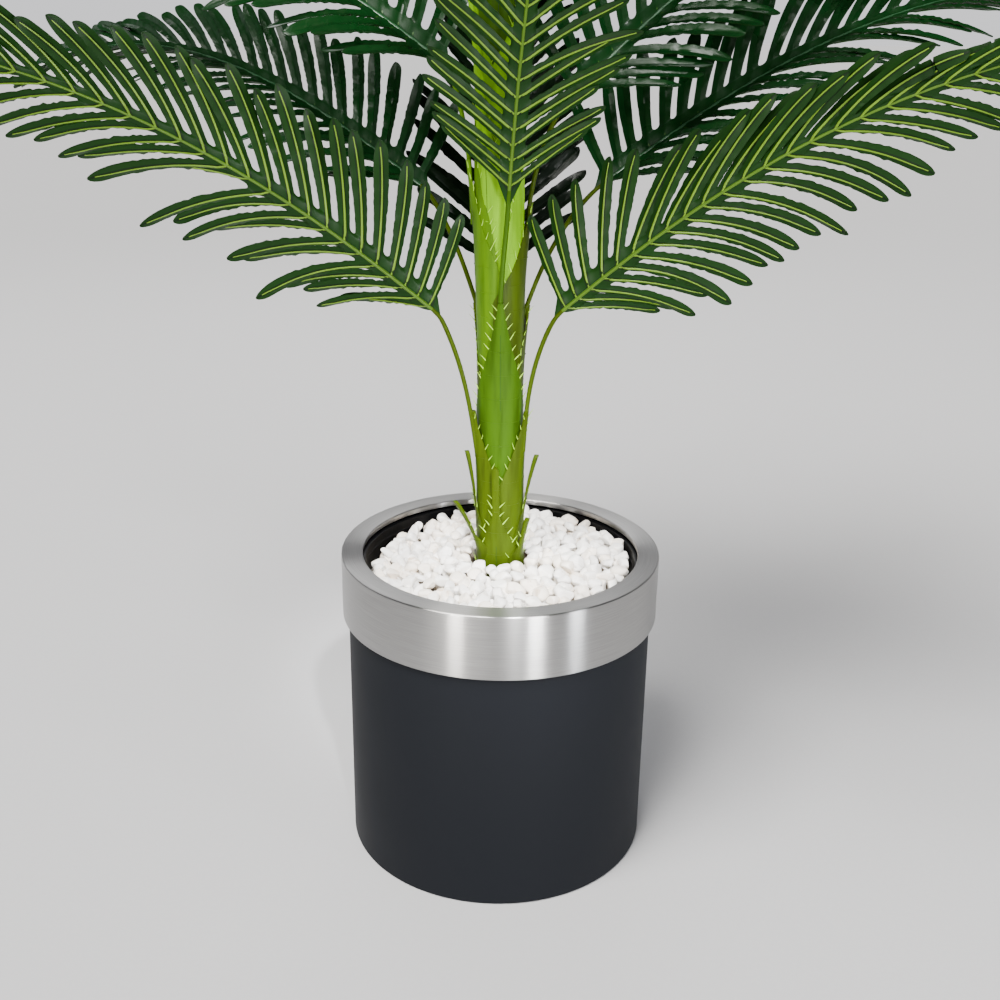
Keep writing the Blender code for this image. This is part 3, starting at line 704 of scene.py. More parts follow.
@dataclass
class Sheath:
    """A leaf base wrapped round the stem, narrow at its top and spiked on its edges.

    Distances down the sheath are measured from its top. Arc distances are
    measured round the trunk from the sheath's own centre line.
    """

    name: str
    azimuth: float
    top_z: float
    peel: float
    peel_length: float
    throat: float
    opening: float
    tone: SheathTone
    layer: float
    length: float = 0.20
    top_half_angle: float = 6.5
    full_half_angle: float = 104.0
    opening_power: float = 1.3
    round_top: float = 0.0
    rows: int = 60
    columns: int = 23
    skin: float = 0.9 * MILLIMETRE
    root_depth: float = 3.6 * MILLIMETRE
    sink: float = 2.0 * MILLIMETRE
    spike_pitch: float = 9.2 * MILLIMETRE
    spike_length: float = 9.2 * MILLIMETRE
    spike_radius: float = 0.52 * MILLIMETRE
    ring_pitch: float = 23.5 * MILLIMETRE

    def half_angle(self, down: np.ndarray) -> np.ndarray:
        """Half of the angle that the sheath takes round the trunk, in radians."""
        opened = np.clip((down - self.throat) / self.opening, 0.0, 1.0) ** self.opening_power
        angle = np.radians(self.top_half_angle + (self.full_half_angle - self.top_half_angle) * opened)
        ends = np.sqrt(np.clip(down / self.round_top, 0.12, 1.0)) if self.round_top else 1.0
        return ends * angle * STEM.radius / (STEM.radius + self.peel * self.ridge(down))

    def ridge(self, down: np.ndarray) -> np.ndarray:
        """Share of the peel that is left at a depth."""
        return np.clip(1.0 - down / self.peel_length, 0.0, 1.0) ** 1.5

    def stand_off(self, down: np.ndarray, arc: np.ndarray) -> np.ndarray:
        """How far the outer skin stands off the sunk stem."""
        rest = np.clip((self.length - down) / (self.length - self.peel_length), 0.0, 1.0)
        hump = np.exp(-(arc / (7.0 * MILLIMETRE)) ** 2)
        keel = 0.6 * MILLIMETRE * np.exp(-(arc / (6.0 * MILLIMETRE)) ** 2)
        return (0.3 + 3.1 * rest) * MILLIMETRE + self.layer + self.peel * self.ridge(down) * hump + keel

    def outer(self, down: np.ndarray, turn: np.ndarray) -> tuple[np.ndarray, np.ndarray, np.ndarray]:
        """Points of the outer skin, with the way out from the axis and the skin's depth.

        Args:
            down: Distance below the sheath's top.
            turn: Angle from the sheath's centre line in radians.

        Returns:
            Points, outward directions and depths of the wall.
        """
        z = self.top_z - down
        base = STEM.radius_at(z) - self.sink
        arc = turn * STEM.radius_at(z)
        angle = math.radians(self.azimuth) + turn
        out = np.stack((np.cos(angle), np.sin(angle), np.zeros_like(angle)), axis=-1)
        root = np.clip(1.0 - down / 0.06, 0.0, 1.0) * np.exp(-(arc / (5.0 * MILLIMETRE)) ** 2)
        depth = self.skin + self.root_depth * root
        points = STEM.centre(z) + (base + self.stand_off(down, arc))[..., None] * out
        return points, out, depth

    def add_shell(self, batch: MeshBatch, kind: int) -> None:
        """Add the closed shell of the sheath.

        Args:
            batch: Piece that takes the shell.
            kind: Material number.
        """
        lowest = min(self.length, self.top_z - STEM.foot_z)
        down = lowest * np.linspace(0.0, 1.0, self.rows) ** 1.25
        share = np.linspace(-1.0, 1.0, self.columns)
        grid_down = np.repeat(down[:, None], self.columns, axis=1)
        turn = share[None, :] * self.half_angle(down)[:, None]
        points, out, depth = self.outer(grid_down, turn)
        thin = 1.0 - 0.55 * np.abs(share[None, :]) ** 6
        inner = points - (depth * thin)[..., None] * out
        uv = np.stack((turn / math.pi, grid_down / 0.1), axis=-1)
        count = self.rows * self.columns
        start = batch.count
        batch.add(points, grid_faces(self.rows, self.columns)[:, ::-1], kind, uv)
        batch.add(inner, grid_faces(self.rows, self.columns), kind, uv)
        number = np.arange(count).reshape(self.rows, self.columns)
        ring = np.concatenate((number[0, :], number[1:, -1], number[-1, -2::-1], number[-2:0:-1, 0]))
        after = np.roll(ring, -1)
        rim = np.stack((ring, after, after + count, ring + count), axis=-1)
        batch.add_faces(rim, start, kind)

    def add_line(self, batch: MeshBatch, down: np.ndarray, turn: np.ndarray, half_width: float,
                 height: float, kind: int) -> None:
        """Lay a low moulded line on the outer skin.

        Args:
            batch: Piece that takes the line.
            down: Distances below the top along the line.
            turn: Angles along the line.
            half_width: Half of the line's width.
            height: How far it stands proud.
            kind: Material number.
        """
        points, out, _ = self.outer(down, turn)
        run = unit(np.gradient(points, axis=0))
        across = np.cross(out, run)
        sunk = points - 0.25 * MILLIMETRE * out
        ring = (sunk - half_width * across, points + height * out, sunk + half_width * across)
        batch.add(np.stack(ring, axis=1), grid_faces(len(points), 3), kind)

    def add_mould_marks(self, batch: MeshBatch, plain: int, dark: int) -> None:
        """Add the ring lines, the dark centre line, which is painted shade of the sheath's centre groove, and a small
        gate knob on every second ring.

        Args:
            batch: Piece that takes the marks.
            plain: Material number of the rings and knobs.
            dark: Material number of the centre line's painted groove shade.
        """
        lowest = min(self.length, self.top_z - STEM.foot_z) - 0.01
        start = self.throat + 0.030
        if lowest > start + 0.01:
            # A low raised strip in dark green down the middle: painted shade of the centre groove.
            line = np.linspace(start, min(lowest, start + 0.075), 24)
            self.add_line(batch, line, np.zeros_like(line), 0.75 * MILLIMETRE, 0.12 * MILLIMETRE, dark)
        for number, down in enumerate(np.arange(self.ring_pitch, lowest, self.ring_pitch)):
            half = 0.82 * float(self.half_angle(np.array(down)))
            turn = np.linspace(-half, half, 24)
            self.add_line(batch, np.full(24, down), turn, 0.4 * MILLIMETRE, 0.18 * MILLIMETRE, plain)
            if number % 2:
                point, out, _ = self.outer(np.array(down), np.array(0.0))
                side = np.cross(UP, out)
                add_thorn(batch, point - 1.4 * MILLIMETRE * side, side, out, 2.8 * MILLIMETRE,
                          0.75 * MILLIMETRE, plain)

    def covers(self, point: np.ndarray, stand_off: float) -> bool:
        """Whether this sheath lies over a point that stands off the stem by a given amount."""
        down = self.top_z - float(point[2])
        if not 0.0 < down < min(self.length, self.top_z - STEM.foot_z):
            return False
        centre = STEM.centre(point[2])
        turn = math.atan2(point[1] - centre[1], point[0] - centre[0]) - math.radians(self.azimuth)
        turn = (turn + math.pi) % (2.0 * math.pi) - math.pi
        if abs(turn) > float(self.half_angle(np.array(down))):
            return False
        arc = np.array(turn * STEM.radius_at(point[2]))
        return float(self.stand_off(np.array(down), arc)) > stand_off

    def add_spikes(self, batch: MeshBatch, kind: int, chance: random.Random, others: list["Sheath"]) -> None:
        """Add the soft spikes along both edges, where no neighbour lies over them.

        Args:
            batch: Piece that takes the spikes.
            kind: Material number.
            chance: Seeded source of small differences.
            others: The other sheaths of the trunk.
        """
        first = max(6.0 * MILLIMETRE, self.throat - 0.012)
        last = min(self.throat + 0.80 * self.opening, self.top_z - STEM.foot_z - 0.020)
        count = max(1, int((last - first) / self.spike_pitch))
        for hand in (-1.0, 1.0):
            for i in range(count + 1):
                down = first + (last - first) * i / count + chance.uniform(-1.0, 1.0) * MILLIMETRE
                turn = np.array(hand * 0.98 * float(self.half_angle(np.array(down))))
                root, out, _ = self.outer(np.array(down), turn)
                around = hand * np.cross(UP, out)
                tilt = math.radians(chance.uniform(26.0, 42.0))
                run = math.sin(tilt) * around + math.cos(tilt) * UP + chance.uniform(0.08, 0.30) * out
                length = self.spike_length * chance.uniform(0.75, 1.15)
                own = float(self.stand_off(np.array(down), turn * STEM.radius_at(root[2])))
                if any(other.covers(root, own) for other in others):
                    continue
                add_thorn(batch, root - 0.5 * MILLIMETRE * out, unit(run), out, length, self.spike_radius, kind)

    def build(self, skins: dict[SheathTone, bpy.types.Material], seed: int,
              others: list["Sheath"]) -> bpy.types.Object:
        """Build the sheath with its marks and spikes.

        Args:
            skins: Materials of the sheath tones.
            seed: Seed of the small differences.
            others: The other sheaths of the trunk.

        Returns:
            The piece.
        """
        batch = MeshBatch()
        self.add_shell(batch, 0)
        self.add_mould_marks(batch, 0, 2)
        self.add_spikes(batch, 1, random.Random(seed), others)
        used = [skins[self.tone], skins[SheathTone.SPIKE], skins[SheathTone.GROOVE_SHADE]]
        return batch.build(self.name, used, Slot.TRUNK, ["trunk"], 50.0)


def add_thorn(batch: MeshBatch, root: np.ndarray, run: np.ndarray, lean: np.ndarray, length: float,
              radius: float, kind: int) -> None:
    """Add one slim thorn that curves a little outwards.

    Args:
        batch: Piece that takes the thorn.
        root: Its foot.
        run: Its direction.
        lean: The way that it curves.
        length: Its length.
        radius: Radius at its foot.
        kind: Material number.
    """
    sides = 5
    side = unit(np.cross(run, lean))
    other = np.cross(side, run)
    turn = 2.0 * math.pi * np.arange(sides) / sides
    rings = []
    for share, swell in ((0.0, 1.0), (0.5, 0.72), (1.0, 0.18)):
        centre = root + share * length * run + 0.12 * length * share * share * lean
        rings.append(centre + swell * radius * (np.cos(turn)[:, None] * side + np.sin(turn)[:, None] * other))
    start = batch.count
    batch.add(np.concatenate(rings), grid_faces(len(rings), sides, wrap=True), kind)
    cap = np.arange(sides)[None, :]
    batch.add_faces(cap[:, ::-1], start, kind)
    batch.add_faces(cap + (len(rings) - 1) * sides, start, kind)


@dataclass
class Trunk:
    """The stem, its sheaths and its cut leaf bases."""

    sides: int = 40
    rows: int = 90
    peel: float = 6.9 * MILLIMETRE
    peel_length: float = 0.085
    stub_layer: float = 1.8 * MILLIMETRE
    sheaths: list[Sheath] = field(default_factory=list)

    def __post_init__(self) -> None:
        """Lay out one sheath for each frond and each stub."""
        for index, frond in enumerate(FRONDS, start=1):
            self.sheaths.append(Sheath(
                f"sheath_{index:02d}", frond.azimuth + frond.sheath.swing, frond.foot_z + frond.sheath.rise,
                self.peel, self.peel_length, 0.0, frond.sheath.opening, frond.sheath.tone, frond.sheath.layer))
        for index, bare in enumerate(BARE_SHEATHS, start=1):
            self.sheaths.append(Sheath(
                f"bare_sheath_{index:02d}", bare.azimuth, bare.top_z, 0.0, self.peel_length, 0.0,
                bare.opening, bare.tone, bare.layer, full_half_angle=bare.full_half_angle,
                opening_power=bare.opening_power))
        for index, stub in enumerate(STUBS, start=1):
            reach = stub.tip_reach - float(STEM.radius_at(np.array(stub.tip_z)))
            height = stub.tip_z - STEM.foot_z
            self.sheaths.append(Sheath(
                f"cut_sheath_{index:02d}", stub.azimuth, stub.tip_z, max(reach, self.peel),
                max(stub.tip_z - stub.foot_z, 0.05), 0.42 * height, 0.62 * height, OLIVE,
                self.stub_layer + 0.3 * MILLIMETRE * (index % 2), length=0.16, top_half_angle=9.0,
                opening_power=1.0, round_top=3.0 * MILLIMETRE))

    def build_stem(self, skin: bpy.types.Material) -> bpy.types.Object:
        """Build the bare stem that shows between the sheaths.

        Args:
            skin: Its material.

        Returns:
            The piece.
        """
        share = np.linspace(0.0, 1.0, self.rows)
        z = STEM.foot_z + (STEM.top_z - STEM.foot_z) * share
        radius = STEM.radius_at(z) - 2.2 * MILLIMETRE * (1.0 - smooth_step(z, 0.98, STEM.top_z))
        turn = 2.0 * math.pi * np.arange(self.sides) / self.sides
        fold = 1.0 + 0.05 * np.cos(3.0 * turn)[None, :] * smooth_step(z, 0.95, 1.0)[:, None]
        out = np.stack((np.cos(turn), np.sin(turn), np.zeros_like(turn)), axis=-1)
        tip = np.sqrt(np.clip((STEM.top_z - z) / 0.03, 0.02, 1.0))
        points = STEM.centre(z)[:, None, :] + ((radius * tip)[:, None] * fold)[..., None] * out[None, :, :]
        uv = np.stack(np.broadcast_arrays(turn[None, :] / math.pi, z[:, None] / 0.1), axis=-1)
        batch = MeshBatch()
        batch.add(points, grid_faces(self.rows, self.sides, wrap=True), 0, uv)
        ring = np.arange(self.sides)[None, :]
        batch.add_faces(ring[:, ::-1], 0, 0)
        batch.add_faces(ring + (self.rows - 1) * self.sides, 0, 0)
        return batch.build("trunk_stem", [skin], Slot.TRUNK, ["trunk"])

    def build(self, skins: dict[SheathTone, bpy.types.Material]) -> None:
        """Build the stem and every sheath.

        Args:
            skins: Materials of the sheath tones.
        """
        self.build_stem(skins[SheathTone.LIME])
        for seed, sheath in enumerate(self.sheaths, start=1):
            sheath.build(skins, seed, [other for other in self.sheaths if other is not sheath])


# Planter


def arc(centre: tuple[float, float], radius: float, start: float, end: float, steps: int = 6) -> list:
    """Points on an arc of a turned profile.

    Args:
        centre: Its centre as (radius, z).
        radius: Its radius.
        start: First angle in degrees.
        end: Last angle in degrees.
        steps: Number of steps.

    Returns:
        The points as (radius, z).
    """
    angles = [math.radians(start + (end - start) * i / steps) for i in range(steps + 1)]
    return [(centre[0] + radius * math.cos(a), centre[1] + radius * math.sin(a)) for a in angles]


def turned_piece(name: str, profile: list, material: bpy.types.Material, slot: Slot, node: str,
                 steps: int = 192) -> bpy.types.Object:
    """Turn a closed profile about Z; it runs down its outer side.

    Args:
        name: The piece's name.
        profile: Points as (radius, z).
        material: Its finish.
        slot: Record slot.
        node: Node that it replaces.
        steps: Faces round the piece.

    Returns:
        The piece.
    """
    radius, z = np.array(profile).T
    turn = 2.0 * math.pi * np.arange(steps) / steps
    points = np.stack((np.cos(turn)[:, None] * radius, np.sin(turn)[:, None] * radius,
                       np.broadcast_to(z, (steps, len(z)))), axis=-1)
    number = np.arange(steps * len(z)).reshape(steps, len(z))
    after = np.roll(number, -1, axis=0)
    quads = np.stack((number, np.roll(number, -1, axis=1), np.roll(after, -1, axis=1), after), axis=-1)
    batch = MeshBatch()
    batch.add(points, quads.reshape(-1, 4), 0)
    return batch.build(name, [material], slot, [node], 32.0)


@dataclass
class Planter:
    """Black steel drum with a folded collar, and the inner pot that the palm stands in."""

    height: float = 0.319
    radius: float = 0.154
    wall: float = 1.2 * MILLIMETRE
    foot_round: float = 2.5 * MILLIMETRE
    collar_radius: float = 0.160
    collar_height: float = 0.0645
    collar_bore: float = 0.1385
    collar_sheet: float = 1.2 * MILLIMETRE
    collar_lip: float = 6.4 * MILLIMETRE
    collar_round: float = 1.6 * MILLIMETRE
    liner_rim_radius: float = 0.1412
    liner_rim_width: float = 5.2 * MILLIMETRE
    liner_top: float = 0.3105
    liner_foot_radius: float = 0.124

    def build_drum(self) -> bpy.types.Object:
        """Build the powder-coated drum."""
        top = self.height - 2.0 * MILLIMETRE - CLEARANCE
        inner = self.radius - self.wall
        foot = arc((self.radius - self.foot_round, self.foot_round), self.foot_round, 0.0, -90.0)
        profile = [(self.radius, top), (self.radius, 0.5 * top), *foot, (1e-6, 0.0)]
        profile += [(1e-6, 4.0 * MILLIMETRE), (inner, 4.0 * MILLIMETRE), (inner, top)]
        return turned_piece("planter_drum", profile, PowderCoatedSteel().build(), Slot.POWDER_COAT, "pot_body")

    def build_collar(self) -> bpy.types.Object:
        """Build the brushed collar: skirt, flat top and rolled inner lip."""
        top = self.height
        foot = top - self.collar_height
        edge = self.collar_round
        sheet = self.collar_sheet
        hem = 0.5 * MILLIMETRE
        lip = top - self.collar_lip
        bore = self.collar_bore
        outer = self.collar_radius
        profile = [*arc((bore + edge, top - edge), edge, 180.0, 90.0)]
        profile += arc((outer - edge, top - edge), edge, 90.0, 0.0)
        profile += arc((outer - hem, foot + hem), hem, 0.0, -90.0, 4)
        profile += [(self.radius + 3.0 * CLEARANCE, foot), (self.radius + 3.0 * CLEARANCE, foot + 3.0 * MILLIMETRE)]
        profile += [(outer - sheet, foot + 5.0 * MILLIMETRE), (outer - sheet, top - 2.0 * sheet)]
        profile += [(bore + 2.0 * sheet, top - 2.0 * sheet), (bore + 2.0 * sheet, lip + hem)]
        profile += arc((bore + sheet, lip + hem), hem, -30.0, -150.0, 4)
        steel = BrushedStainlessSteel().build(outer)
        return turned_piece("planter_collar", profile, steel, Slot.STEEL, "pot_collar")

    def liner_radius(self, z: float) -> float:
        """Outer radius of the inner pot's wall at a height."""
        foot_z = 4.3 * MILLIMETRE
        share = (z - foot_z) / (self.liner_top - 5.0 * MILLIMETRE - foot_z)
        return self.liner_foot_radius + (self.liner_rim_radius - 2.7 * MILLIMETRE - self.liner_foot_radius) * share

    def build_liner(self) -> bpy.types.Object:
        """Build the inner pot with its broad rim and a step inside."""
        top = self.liner_top
        rim = self.liner_rim_radius
        foot_z = 4.3 * MILLIMETRE
        wall = 2.5 * MILLIMETRE
        inner = rim - self.liner_rim_width
        edge = 0.9 * MILLIMETRE
        profile = arc((inner + edge, top - edge), edge, 180.0, 90.0, 4)
        profile += arc((rim - edge, top - edge), edge, 90.0, 0.0, 4)
        under = top - 5.0 * MILLIMETRE
        profile += [(rim, under), (self.liner_radius(under), under), (self.liner_foot_radius, foot_z), (1e-6, foot_z)]
        profile += [(1e-6, foot_z + 3.0 * MILLIMETRE), (self.liner_foot_radius - wall, foot_z + 3.0 * MILLIMETRE)]
        step = top - 9.0 * MILLIMETRE
        profile += [(self.liner_radius(step) - wall - 0.8 * MILLIMETRE, step - 1.0 * MILLIMETRE)]
        profile += [(inner - 0.3 * MILLIMETRE, step), (inner, step + 0.8 * MILLIMETRE)]
        plastic = MouldedPolypropylene().build()
        return turned_piece("planting_pot", profile, plastic, Slot.LINER, "pot_liner")

    def build(self) -> None:
        """Build every piece of the planter and dress the hidden filling."""
        self.build_drum()
        self.build_collar()
        self.build_liner()
        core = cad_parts["planting_core"]
        core.data.materials.clear()
        core.data.materials.append(CastMortar().build())


# White stones


@dataclass
class PebbleBed:
    """Marble stones heaped round the trunk, on a rough bed."""

    floor_z: float = 0.2862
    edge_z: float = 0.3062
    crown_z: float = 0.3122
    tilt: float = 0.022
    tilt_azimuth: float = math.radians(35.0)
    inner_radius: float = 0.0268
    outer_radius: float = 0.1352
    tries: int = 15000
    seed: int = 41
    gaps: tuple = ((146.0, 30.0, 0.009), (-27.0, 20.0, 0.006))
    tones: tuple = (("white", "#fefbf6", "#e6dccf"), ("warm", "#f9f0e4", "#d9c6b0"), ("cool", "#f3f1ee", "#d0c8c0"))

    def surface(self, x: float, y: float) -> float:
        """Height of the heap, which is a little higher at the back right."""
        radius = math.hypot(x, y)
        share = min(1.0, max(0.0, (radius - self.inner_radius) / (self.outer_radius - self.inner_radius)))
        rise = self.tilt * (x * math.cos(self.tilt_azimuth) + y * math.sin(self.tilt_azimuth))
        return self.crown_z + (self.edge_z - self.crown_z) * share * share + rise

    def limit(self, azimuth: float) -> float:
        """How far out the stones reach; at two places the liner shows beside them."""
        reach = self.outer_radius
        for centre, width, depth in self.gaps:
            off = (azimuth - centre + 180.0) % 360.0 - 180.0
            reach -= depth * math.exp(-(off / width) ** 2)
        return reach

    def ball(self) -> tuple[np.ndarray, np.ndarray]:
        """Points and triangles of a round stone to start from."""
        ball = bmesh.new()
        bmesh.ops.create_icosphere(ball, subdivisions=3, radius=1.0)
        points = np.array([vertex.co[:] for vertex in ball.verts])
        faces = np.array([[vertex.index for vertex in face.verts] for face in ball.faces])
        ball.free()
        return points, faces

    def stone(self, ball: np.ndarray, size: tuple, chance: random.Random) -> np.ndarray:
        """Shape one stone: a ball worn flat on several sides.

        Args:
            ball: Points of the unit ball.
            size: Half sizes along its own axes.
            chance: Seeded source.

        Returns:
            The stone's points about its centre.
        """
        points = ball.copy()
        for _ in range(chance.randint(8, 11)):
            normal = unit(np.array([chance.gauss(0.0, 1.0) for _ in range(3)]))
            level = chance.uniform(0.52, 0.86)
            over = np.maximum(0.0, points @ normal - level)
            points -= 0.95 * over[:, None] * normal
        wave = np.array([chance.uniform(0.0, 6.3) for _ in range(3)])
        points *= 1.0 + 0.035 * np.sin(3.2 * points @ np.array((1.0, 0.7, -0.5)) + wave[0])[:, None]
        points *= np.array(size)
        turn = Matrix.Rotation(chance.uniform(0.0, 6.3), 3, "Z")
        tilt = Matrix.Rotation(chance.gauss(0.0, 0.32), 3, "X") @ Matrix.Rotation(chance.gauss(0.0, 0.32), 3, "Y")
        return points @ np.array(turn @ tilt).T

    def scatter(self, chance: random.Random) -> list[tuple]:
        """Place the stones in two layers with little overlap.

        Args:
            chance: Seeded source.

        Returns:
            Stones as (x, y, z, half sizes).
        """
        placed: list[tuple] = []
        for drop, crowding in ((8.0 * MILLIMETRE, 0.74), (1.6 * MILLIMETRE, 0.80)):
            layer: list[tuple] = []
            for _ in range(self.tries):
                radius = math.sqrt(chance.uniform(self.inner_radius ** 2, self.outer_radius ** 2))
                azimuth = chance.uniform(0.0, 360.0)
                long = chance.triangular(7.6, 12.8, 9.4) * MILLIMETRE
                size = (long, long * chance.uniform(0.6, 0.9), long * chance.uniform(0.55, 0.8))
                reach = 0.5 * (size[0] + size[1])
                trunk_room = self.inner_radius + 0.8 * size[0]
                if radius < trunk_room or radius + reach > self.limit(azimuth):
                    continue
                x = radius * math.cos(math.radians(azimuth))
                y = radius * math.sin(math.radians(azimuth))
                if any(math.hypot(x - o[0], y - o[1]) < crowding * (reach + 0.5 * (o[3][0] + o[3][1]))
                       for o in layer):
                    continue
                lift = chance.uniform(-1.2, 1.6) * MILLIMETRE
                layer.append((x, y, self.surface(x, y) - drop + lift, size))
            placed += layer
        return placed

    def build(self) -> None:
        """Build the bed, tinted as painted shade for the gaps between stones, and the stones, one piece for each
        tone.
        """
        # The bed's warm grey-brown is partly the filling's own tone, partly painted shade of deeper stones showing in
        # the gaps.
        gap_shade_mortar = CastMortar("#93836f").build()
        edge = self.outer_radius - 10.0 * MILLIMETRE
        bed = [(self.inner_radius - 2.0 * MILLIMETRE, self.floor_z + 9.0 * MILLIMETRE)]
        bed += [(edge, self.floor_z + 6.0 * MILLIMETRE), (edge, self.floor_z - 1.4 * MILLIMETRE)]
        bed += [(self.inner_radius - 2.0 * MILLIMETRE, self.floor_z - 1.4 * MILLIMETRE)]
        turned_piece("stone_bedding", bed, gap_shade_mortar, Slot.PEBBLES, "pebble_bed", 96)
        chance = random.Random(self.seed)
        ball, faces = self.ball()
        stones = self.scatter(chance)
        batches = [MeshBatch() for _ in self.tones]
        for x, y, z, size in stones:
            pick = chance.choices(range(len(self.tones)), (0.52, 0.32, 0.16))[0]
            batches[pick].add(self.stone(ball, size, chance) + np.array((x, y, z)), faces)
        for batch, (name, colour, vein) in zip(batches, self.tones):
            marble = TumbledMarble(name, colour, vein).build()
            batch.build(f"pebbles_{name}", [marble], Slot.PEBBLES, ["pebble_bed"], 60.0)
        log.info("stones laid: %d", len(stones))


# Fronds


@dataclass
class Places:
    """Places on a spine: points with their three axes."""

    point: np.ndarray
    along: np.ndarray
    side: np.ndarray
    upper: np.ndarray


class Spine:
    """The bent centre line of a frond, read at any distance from its foot."""

    step = 2.0 * MILLIMETRE
    stand_off = 6.2 * MILLIMETRE
    petiole_power = 1.5
    blade_power = 1.6
    easing = 9

    def __init__(self, frond: Frond) -> None:
        """Bend the line by the frond's leans, with the kink at the blade's foot eased."""
        azimuth = math.radians(frond.azimuth)
        self.frond = frond
        self.total = frond.petiole + frond.blade
        count = int(math.ceil(self.total / self.step))
        self.distance = np.linspace(0.0, self.total, count + 1)
        lean = self.lean(self.distance)
        padded = np.pad(lean, self.easing // 2, mode="edge")
        lean = np.convolve(padded, np.ones(self.easing) / self.easing, mode="valid")
        out = np.array((math.cos(azimuth), math.sin(azimuth), 0.0))
        self.along = np.sin(lean)[:, None] * out + np.cos(lean)[:, None] * UP
        middle = unit(0.5 * (self.along[1:] + self.along[:-1]))
        steps = np.diff(self.distance)[:, None] * middle
        reach = float(STEM.radius_at(np.array(frond.foot_z))) + self.stand_off
        foot = STEM.centre(np.array(frond.foot_z)) + reach * out
        self.point = np.concatenate((foot[None, :], foot + np.cumsum(steps, axis=0)))
        if frond.sheath.rise == 0.0:
            turned = math.radians(frond.azimuth + frond.sheath.swing)
            shift = reach * (np.array((math.cos(turned), math.sin(turned), 0.0)) - out)
            self.point += (1.0 - smooth_step(self.distance, 0.0, frond.petiole))[:, None] * shift
        flat = np.cross(UP, out)
        upper = np.cross(self.along, flat)
        twist = math.radians(frond.roll) * np.minimum(1.0, self.distance / frond.petiole) ** 2
        self.side = np.cos(twist)[:, None] * flat + np.sin(twist)[:, None] * upper
        self.upper = np.cross(self.along, self.side)

    def lean(self, distance: np.ndarray) -> np.ndarray:
        """Lean from straight up, in radians."""
        frond = self.frond
        low = np.clip(distance / frond.petiole, 0.0, 1.0) ** self.petiole_power
        petiole = frond.foot_lean + (frond.neck_lean - frond.foot_lean) * low
        high = np.clip((distance - frond.petiole) / frond.blade, 0.0, 1.0) ** self.blade_power
        blade = frond.base_lean + (frond.tip_lean - frond.base_lean) * high
        return np.radians(np.where(distance <= frond.petiole, petiole, blade))

    def read(self, distance: np.ndarray) -> Places:
        """Read points and axes.

        Args:
            distance: Distances from the foot; before it the line runs on straight.

        Returns:
            The places.
        """
        distance = np.asarray(distance, float)

        def at(values: np.ndarray) -> np.ndarray:
            return np.stack([np.interp(distance, self.distance, values[:, i]) for i in range(3)], axis=-1)

        before = np.minimum(distance, 0.0)[..., None] * self.along[0]
        after = np.maximum(distance - self.total, 0.0)[..., None] * self.along[-1]
        return Places(at(self.point) + before + after, unit(at(self.along)), unit(at(self.side)),
                      unit(at(self.upper)))


@dataclass
class LeafRow:
    """The leaflets on one side of a rib, as arrays with one entry a leaflet."""

    root: np.ndarray
    along: np.ndarray
    flat: np.ndarray
    normal: np.ndarray
    angle: np.ndarray
    length: np.ndarray
    half_width: np.ndarray
    droop: np.ndarray
    lift: np.ndarray
    twist: np.ndarray
    limp: np.ndarray
    sweep: float

    @property
    def fall(self) -> np.ndarray:
        """How the leaflets' weight bends them: most where they lie level or hang from the lower side."""
        angle = self.angle[:, None]
        run = np.cos(angle) * self.along + np.sin(angle) * self.flat
        level = (run @ UP)[:, None] * run - UP
        under = np.maximum(0.0, -(self.flat @ UP))
        size = self.limp * (1.0 + 0.8 * under) * np.linalg.norm(level, axis=-1)
        return size[:, None] * level

    def trace(self, reach: np.ndarray) -> tuple[np.ndarray, np.ndarray, np.ndarray, np.ndarray]:
        """Follow the leaflets' centre lines.

        Args:
            reach: Distances from the rib, one row a leaflet.

        Returns:
            Points, directions, upper normals and the ways across towards the blade's tip.
        """
        fall = self.fall
        weight = np.linalg.norm(fall, axis=-1)[:, None]
        flown = reach * (1.0 - 0.66 * (weight * reach) ** 2)
        first = (self.angle + 0.5 * self.sweep)[:, None]
        bend = (self.sweep / self.length)[:, None]
        now = first - bend * flown
        forward = ((np.sin(first) - np.sin(now)) / bend)[..., None]
        outward = ((np.cos(now) - np.cos(first)) / bend)[..., None]
        along, flat, normal = (axis[:, None, :] for axis in (self.along, self.flat, self.normal))
        drop = self.droop[:, None] * reach
        lift = self.lift[:, None]
        points = self.root[:, None, :] + forward * along + outward * flat
        points = points + ((lift - drop) * reach)[..., None] * normal + (reach * reach)[..., None] * fall[:, None, :]
        run = np.cos(now)[..., None] * along + np.sin(now)[..., None] * flat
        run = unit(run + (lift - 2.0 * drop)[..., None] * normal + 2.0 * reach[..., None] * fall[:, None, :])
        upper = unit(normal - np.sum(normal * run, axis=-1, keepdims=True) * run)
        across = np.cross(run, upper)
        across = across * np.sign(np.sum(across * along, axis=-1, keepdims=True) + 1e-9)
        return points, run, upper, across


